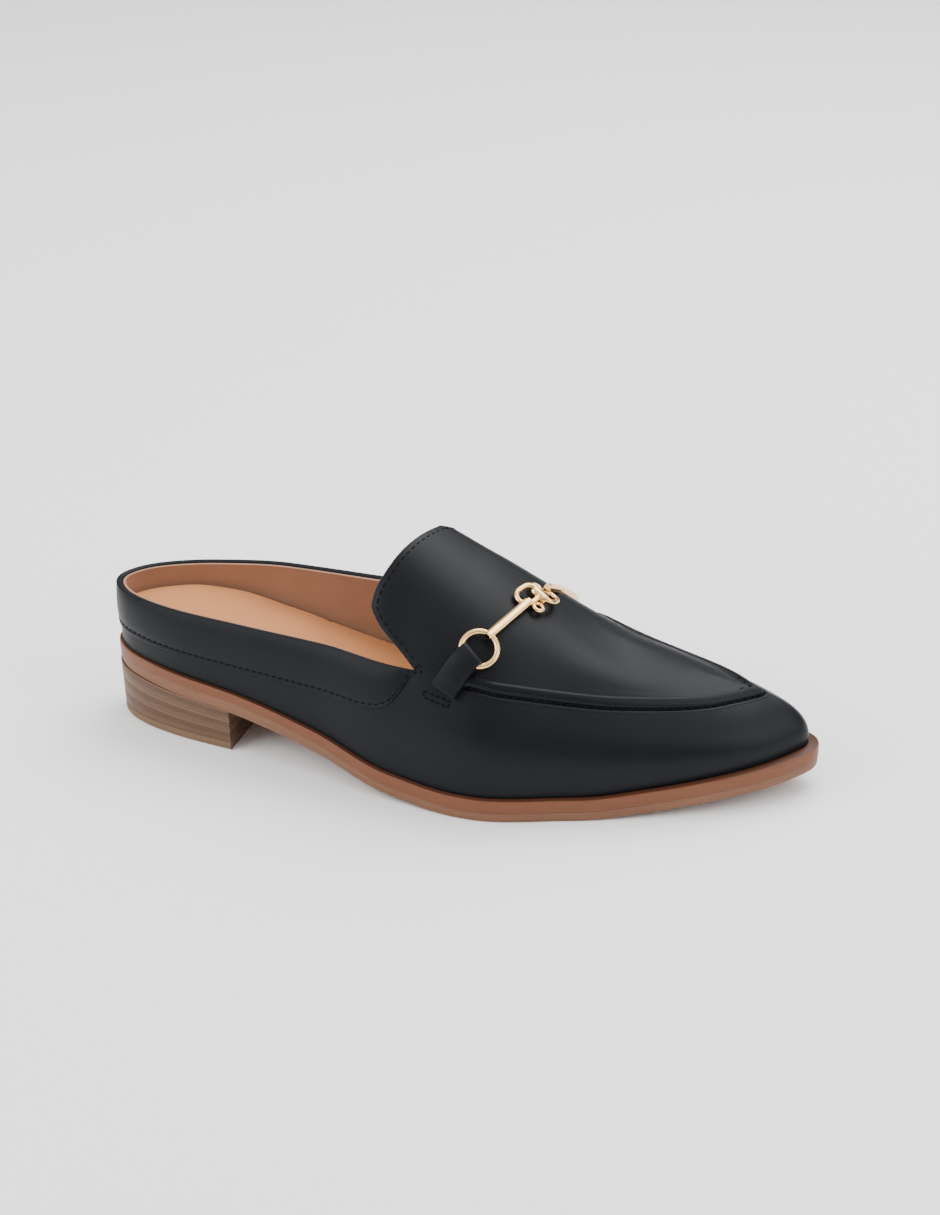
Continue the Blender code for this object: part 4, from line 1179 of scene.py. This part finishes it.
class LOAFER_OT_stitches(bpy.types.Operator):
    """Rows of stitches on the collar band, the vamp's edge and the moccasin seam"""
    bl_idname = "loafer.stitches"
    bl_label = "Stitches"

    def execute(self, context):
        s, c = sizes(), colours()
        black = waxed_thread("black_thread", c.thread)
        rows = []
        turns = band_turns(600)
        turns = turns[np.abs(turns - 3) < 0.992]
        edge, top = band_edge_angle(turns), top_angle(turns)
        angle = edge + np.minimum(1.4 / wall_scale(turns, top), 0.4 * (top - edge))
        normal = section_normal(turns, angle)
        rows.append(thread(section(turns, angle) + normal * 0.44, normal, s.stitch_pitch, 2.3, s.thread_radius))
        path, normals = ear_edge(2.0)
        rows.append(thread(path, normals, s.stitch_pitch + 0.2, 2.5, s.thread_radius, sink=0.05))
        path, normals = seam_path(-0.1, 0.06, 1.94)
        rows.append(thread(path, normals, s.stitch_pitch + 0.4, 2.7, s.thread_radius * 1.9, sink=-0.1))
        path, normals = seam_path(0.9, 0.80, 1.28, over_roll=1.0)
        rows.append(thread(path, normals, s.stitch_pitch + 0.4, 1.7, s.thread_radius * 1.3))
        corners = np.concatenate([NOTCH_BOX, NOTCH_BOX[:1]])
        facing = np.tile(section_normal(np.array(0.0), top_angle(np.array(0.0))), (len(corners), 1))
        rows.append(thread(corners, facing, 1.9, 1.6, s.thread_radius))
        offsets = np.array(FOOT_BOX)
        for name, sign in (("lateral", 1), ("medial", -1)):
            foot = spot_on_upper(*bit_plan("foot_" + name))
            path, normals = surface_path(np.array(foot) + offsets * (sign, 1))
            rows.append(thread(path, normals, s.stitch_pitch * 0.8, 1.8, s.thread_radius))
        put_mesh("upper_stitches", *gather(rows), black, "upper_leather", smooth=60)
        path, normals = ear_edge(-0.05)
        around = np.linspace(0, 2 * np.pi, 8, endpoint=False)
        circle = np.stack([np.cos(around), np.sin(around)], 1)
        points, faces = carry(path - normals * 1.3, squared(path, normals)[0], normals, circle, 0.3, 0.5)
        raw = Paint("raw_edge", Base_Color=colour(c.raw_edge), Roughness=0.7)
        put_mesh("vamp_edge", points, faces, raw.material, "upper_leather", smooth=60)
        return {"FINISHED"}


class LOAFER_OT_footbed(bpy.types.Operator):
    """Moulded suede footbed with its sewn cross seam"""
    bl_idname = "loafer.footbed"
    bl_label = "Footbed"

    def execute(self, context):
        c = colours()
        put_mesh("footbed", *footbed(), suede("footbed_nap", c.footbed, c.footbed_light), "footbed_suede",
                 "insole", smooth=50)
        return {"FINISHED"}


class LOAFER_OT_sole(bpy.types.Operator):
    """Midsole and outsole with trimmed, burnished edges"""
    bl_idname = "loafer.sole"
    bl_label = "Sole"

    def execute(self, context):
        c = colours()
        welt = edge_leather("tan_edge", c.welt, [v * 1.5 for v in c.welt], 0.42, 0.7)
        dark = edge_leather("brown_edge", c.sole, [v * 1.7 for v in c.sole], 0.5, 1.0)
        profile = [
            (inset, lambda x, k=share: parting(x) + (sole_top(x) - parting(x)) * k)
            for inset, share in WELT_PROFILE]
        put_mesh("midsole_edge", *sole_layer(profile), welt, "welt_leather", "midsole", smooth=35)
        profile = [
            (inset, lambda x, k=share: underside(x) + (parting(x) - 0.01 - underside(x)) * k)
            for inset, share in OUTSOLE_PROFILE]
        put_mesh("outsole_edge", *sole_layer(profile), dark, "sole_leather", "outsole", smooth=35)
        return {"FINISHED"}


class LOAFER_OT_heel(bpy.types.Operator):
    """Stacked heel of leather layers, and its top piece"""
    bl_idname = "loafer.heel"
    bl_label = "Heel"

    def execute(self, context):
        c = colours()
        layers = edge_leather("stacked_leather", c.heel, [v * 1.6 for v in c.heel], 0.45, 1.2, heel_seams)
        tread = edge_leather("tread_rubber", c.tread, [v * 1.3 for v in c.tread], 0.6, 0.4)
        floor = TOP_PIECE + 0.04
        count = int(HEEL_LAYERS)
        profile = []
        for k in range(count):
            for share, nick in ((0.01, 0.10), (0.05, 0.0), (0.95, 0.0), (0.99, 0.10)):
                level = (k + share) / count
                inset = TOP_PIECE_INSET + (HEEL_INSET - TOP_PIECE_INSET) * level + nick
                profile.append((inset, lambda x, t=level: floor + (underside(x) - 0.04 - floor) * t))
        put_mesh("heel_layers", *heel_layer(profile), layers, "heel_leather", "heel_stack", smooth=35)
        profile = [(inset, lambda x, z=z: np.full_like(x, z)) for inset, z in TREAD_PROFILE]
        put_mesh("heel_tread", *heel_layer(profile), tread, "heel_rubber", "heel_top_piece", smooth=35)
        return {"FINISHED"}


class LOAFER_OT_bit(bpy.types.Operator):
    """Rings, bars and centre links of the gold bit"""
    bl_idname = "loafer.bit"
    bl_label = "Bit"

    def execute(self, context):
        gold = polished_metal("plated_gold", colours().gold)
        middle = bit_plan("centre")
        point, normal = on_upper(*middle)
        toward = {s: unit(bit_plan("ring_" + s) - middle) for s in ("lateral", "medial")}
        axes = frame_at(normal, np.append(toward["medial"] - toward["lateral"], 0.0))
        heelward = unit(axes[1][:2])
        centre = point + normal * BARREL_LIFT
        parts = []
        for s, sign in (("lateral", 1.0), ("medial", -1.0)):
            shift = heelward * sign
            at, up = on_upper(*(middle + toward[s] * LINK_LENGTH * 0.41 + shift * LINK_WIDTH * 0.34))
            along, across, up = frame_at(up, np.append(toward[s], 0.0))
            lean = along * math.cos(LINK_TILT) - up * math.sin(LINK_TILT)
            link_axes = (lean, across, np.cross(lean, across))
            parts.append(wire_loop(at + up * LINK_LIFT, link_axes, LINK_LENGTH, LINK_WIDTH, LINK_WIRE))
            at, up = on_upper(*(middle + toward[s] * EYE_RADIUS * 2.2 - shift * BARREL_LENGTH * 0.45))
            eye_axes = frame_at(up, np.append(toward[s], 0.0))
            eye = 2 * EYE_RADIUS
            parts.append(wire_loop(at + up * EYE_LIFT, eye_axes, eye, eye, EYE_WIRE, around=64))
        a = np.linspace(0, 2 * np.pi, 40, endpoint=False)
        ends = np.array([0.86, 0.94, 0.985, 1.0])
        far = np.concatenate([-ends[::-1], np.linspace(-0.78, 0.78, 15), ends])
        fat = BARREL_RADIUS * (1 - 0.22 * np.abs(far) ** 6) * np.where(np.abs(far) > 0.99, 0.72, 1.0)
        circle = np.stack([np.cos(a), np.sin(a)], 1)
        tile = np.tile(axes[2], (len(far), 1)), np.tile(axes[0], (len(far), 1))
        parts.append(carry(centre + axes[1] * far[:, None] * BARREL_LENGTH / 2, *tile, circle, fat, fat))
        put_mesh("bit_links", *gather(parts), gold, "bit_gold", "bit_centre", smooth=45)
        for s, aim in toward.items():
            plan = bit_plan("ring_" + s)
            at, up = on_upper(*plan)
            ring_axes = frame_at(up, on_upper(*bit_plan("foot_" + s))[0] - at)
            loop = wire_loop(at + up * RING_LIFT[s], ring_axes, 2 * RING_RADIUS, 2 * RING_RADIUS, RING_WIRE)
            put_mesh("bit_ring_" + s, *loop, gold, "bit_gold", "ring_" + s, smooth=45)
            start = plan - aim * (RING_RADIUS - RING_WIRE * 2.4)
            end = middle + aim * LINK_LENGTH * 0.65
            far = np.linspace(-1, 1, 31)
            lift = BAR_LIFT + BAR_RAISE[s] + far**2 * np.where(far < 0, BAR_RISE[s], BAR_RISE_LINK)
            path, sides, normals = bar_path(start, end, lift, BAR_STRAIGHT[s])
            size = np.ones(31)
            size[[0, -1]] = 0.84
            points, faces = carry(path, sides, normals, BAR_PROFILE, BAR_WIDTH * size, BAR_THICKNESS * size)
            put_mesh("bit_bar_" + s, points, faces, gold, "bit_gold", "bar_" + s, smooth=25)
        return {"FINISHED"}


class LOAFER_OT_tabs(bpy.types.Operator):
    """Folded leather tabs that hold the rings"""
    bl_idname = "loafer.tabs"
    bl_label = "Tabs"

    def execute(self, context):
        c = colours()
        leather = smooth_leather("tab_calf", c.leather, c.leather_light, rough=0.45)
        for s in ("lateral", "medial"):
            plan = bit_plan("ring_" + s)
            foot = bit_plan("foot_" + s)
            down = unit(foot - plan)
            top = plan + down * TAB_TOP
            share = np.linspace(0, 1, 44)
            spots, normals = laid(top, foot, len(share))
            base = TAB_THICKNESS + (TAB_SWELL - TAB_THICKNESS) * follow(TAB, "swell", share)
            round_end = np.sqrt(np.clip(1 - (1 - share / 0.05).clip(0) ** 2, 0.06, 1))
            thick = base * round_end * np.sqrt(np.clip(1 - (1 - (1 - share) / 0.03).clip(0) ** 2, 0.3, 1))
            lift = TAB_CLEARANCE[s] + TAB_THICKNESS * follow(TAB, "lift", share)
            path = spots + normals * (base / 2 + lift)[:, None]
            sides = squared(path, normals)[0]
            width = TAB_WIDTH * follow(TAB, "width", share)
            put_mesh(
                "tab_strap_" + s, *carry(path, sides, normals, TAB_PROFILE, width, thick),
                leather, "tab_leather", "tab_" + s, smooth=45)
        return {"FINISHED"}


class LOAFER_OT_stage(bpy.types.Operator):
    """Pale floor, soft studio lights and the camera"""
    bl_idname = "loafer.stage"
    bl_label = "Stage"

    def execute(self, context):
        floor_paint = Paint("studio_floor", Base_Color=colour(colours().floor), Roughness=0.75)
        bpy.ops.mesh.primitive_plane_add(size=6.0, location=(0, 0, 0))
        floor = bpy.context.object
        floor.name = "floor"
        floor.data.materials.append(floor_paint.material)
        world = bpy.data.worlds.new("studio")
        bpy.context.scene.world = world
        world.use_nodes = True
        nodes, links = world.node_tree.nodes, world.node_tree.links
        place = nodes.new("ShaderNodeTexCoord")
        parts = nodes.new("ShaderNodeSeparateXYZ")
        rise = nodes.new("ShaderNodeMapRange")
        for key, value in zip(("From Min", "From Max", "To Min", "To Max"), (0.1, 0.95, 0.16, 1.55)):
            rise.inputs[key].default_value = value
        links.new(place.outputs["Generated"], parts.inputs[0])
        links.new(parts.outputs[2], rise.inputs["Value"])
        links.new(rise.outputs[0], nodes["Background"].inputs["Strength"])
        nodes["Background"].inputs["Color"].default_value = (1.0, 1.0, 1.0, 1.0)
        for name, (place, power, size) in LIGHTS.items():
            light = bpy.data.lights.new(name, "AREA")
            light.energy, light.size = power, size
            lamp = bpy.data.objects.new(name, light)
            bpy.context.scene.collection.objects.link(lamp)
            lamp.location = place
            aim = Vector((0.1, 0.0, 0.03)) - Vector(place)
            lamp.rotation_euler = aim.to_track_quat("-Z", "Y").to_euler()
        turn, rise = math.radians(CAMERA_TURN), math.radians(CAMERA_RISE)
        target = CAMERA_AIM - ORIGIN
        back = np.array([math.sin(turn) * math.cos(rise), -math.cos(turn) * math.cos(rise), math.sin(rise)])
        lens = bpy.data.cameras.new("photo_view")
        lens.lens_unit = "MILLIMETERS"
        lens.sensor_fit = "VERTICAL"
        lens.sensor_height = 36.0
        lens.lens = lens.sensor_height * CAMERA_LENS
        camera = bpy.data.objects.new("photo_view", lens)
        bpy.context.scene.collection.objects.link(camera)
        camera.location = Vector(target * 0.001 + back * CAMERA_FAR)
        level = Vector(-back).to_track_quat("-Z", "Y")
        camera.rotation_euler = (Quaternion(Vector(-back), math.radians(CAMERA_ROLL)) @ level).to_euler()
        bpy.context.scene.camera = camera
        return {"FINISHED"}


class LOAFER_PT_panel(bpy.types.Panel):
    """Sizes, colours and pieces of the shoe"""
    bl_idname = "LOAFER_PT_panel"
    bl_label = "Bit loafer mule"
    bl_space_type = "VIEW_3D"
    bl_region_type = "UI"
    bl_category = "Loafer"

    def draw(self, context):
        column = self.layout.column()
        for group in (context.scene.loafer_sizes, context.scene.loafer_colours):
            for name in group.bl_rna.properties.keys():
                if name not in ("rna_type", "name"):
                    column.prop(group, name)
        for piece in OPERATORS:
            column.operator(piece.bl_idname)


OPERATORS = (
    LOAFER_OT_upper, LOAFER_OT_lining, LOAFER_OT_collar, LOAFER_OT_stitches, LOAFER_OT_footbed, LOAFER_OT_sole,
    LOAFER_OT_heel, LOAFER_OT_bit, LOAFER_OT_tabs, LOAFER_OT_stage)


def register():
    for item in (LoaferSizes, LoaferColours, *OPERATORS, LOAFER_PT_panel):
        bpy.utils.register_class(item)
    bpy.types.Scene.loafer_sizes = PointerProperty(type=LoaferSizes)
    bpy.types.Scene.loafer_colours = PointerProperty(type=LoaferColours)


def unregister():
    del bpy.types.Scene.loafer_sizes
    del bpy.types.Scene.loafer_colours
    for item in (LOAFER_PT_panel, *OPERATORS[::-1], LoaferColours, LoaferSizes):
        bpy.utils.unregister_class(item)


def main():
    register()
    for piece in OPERATORS:
        getattr(bpy.ops.loafer, piece.bl_idname.split(".")[1])()


if __name__ == "__main__":
    main()
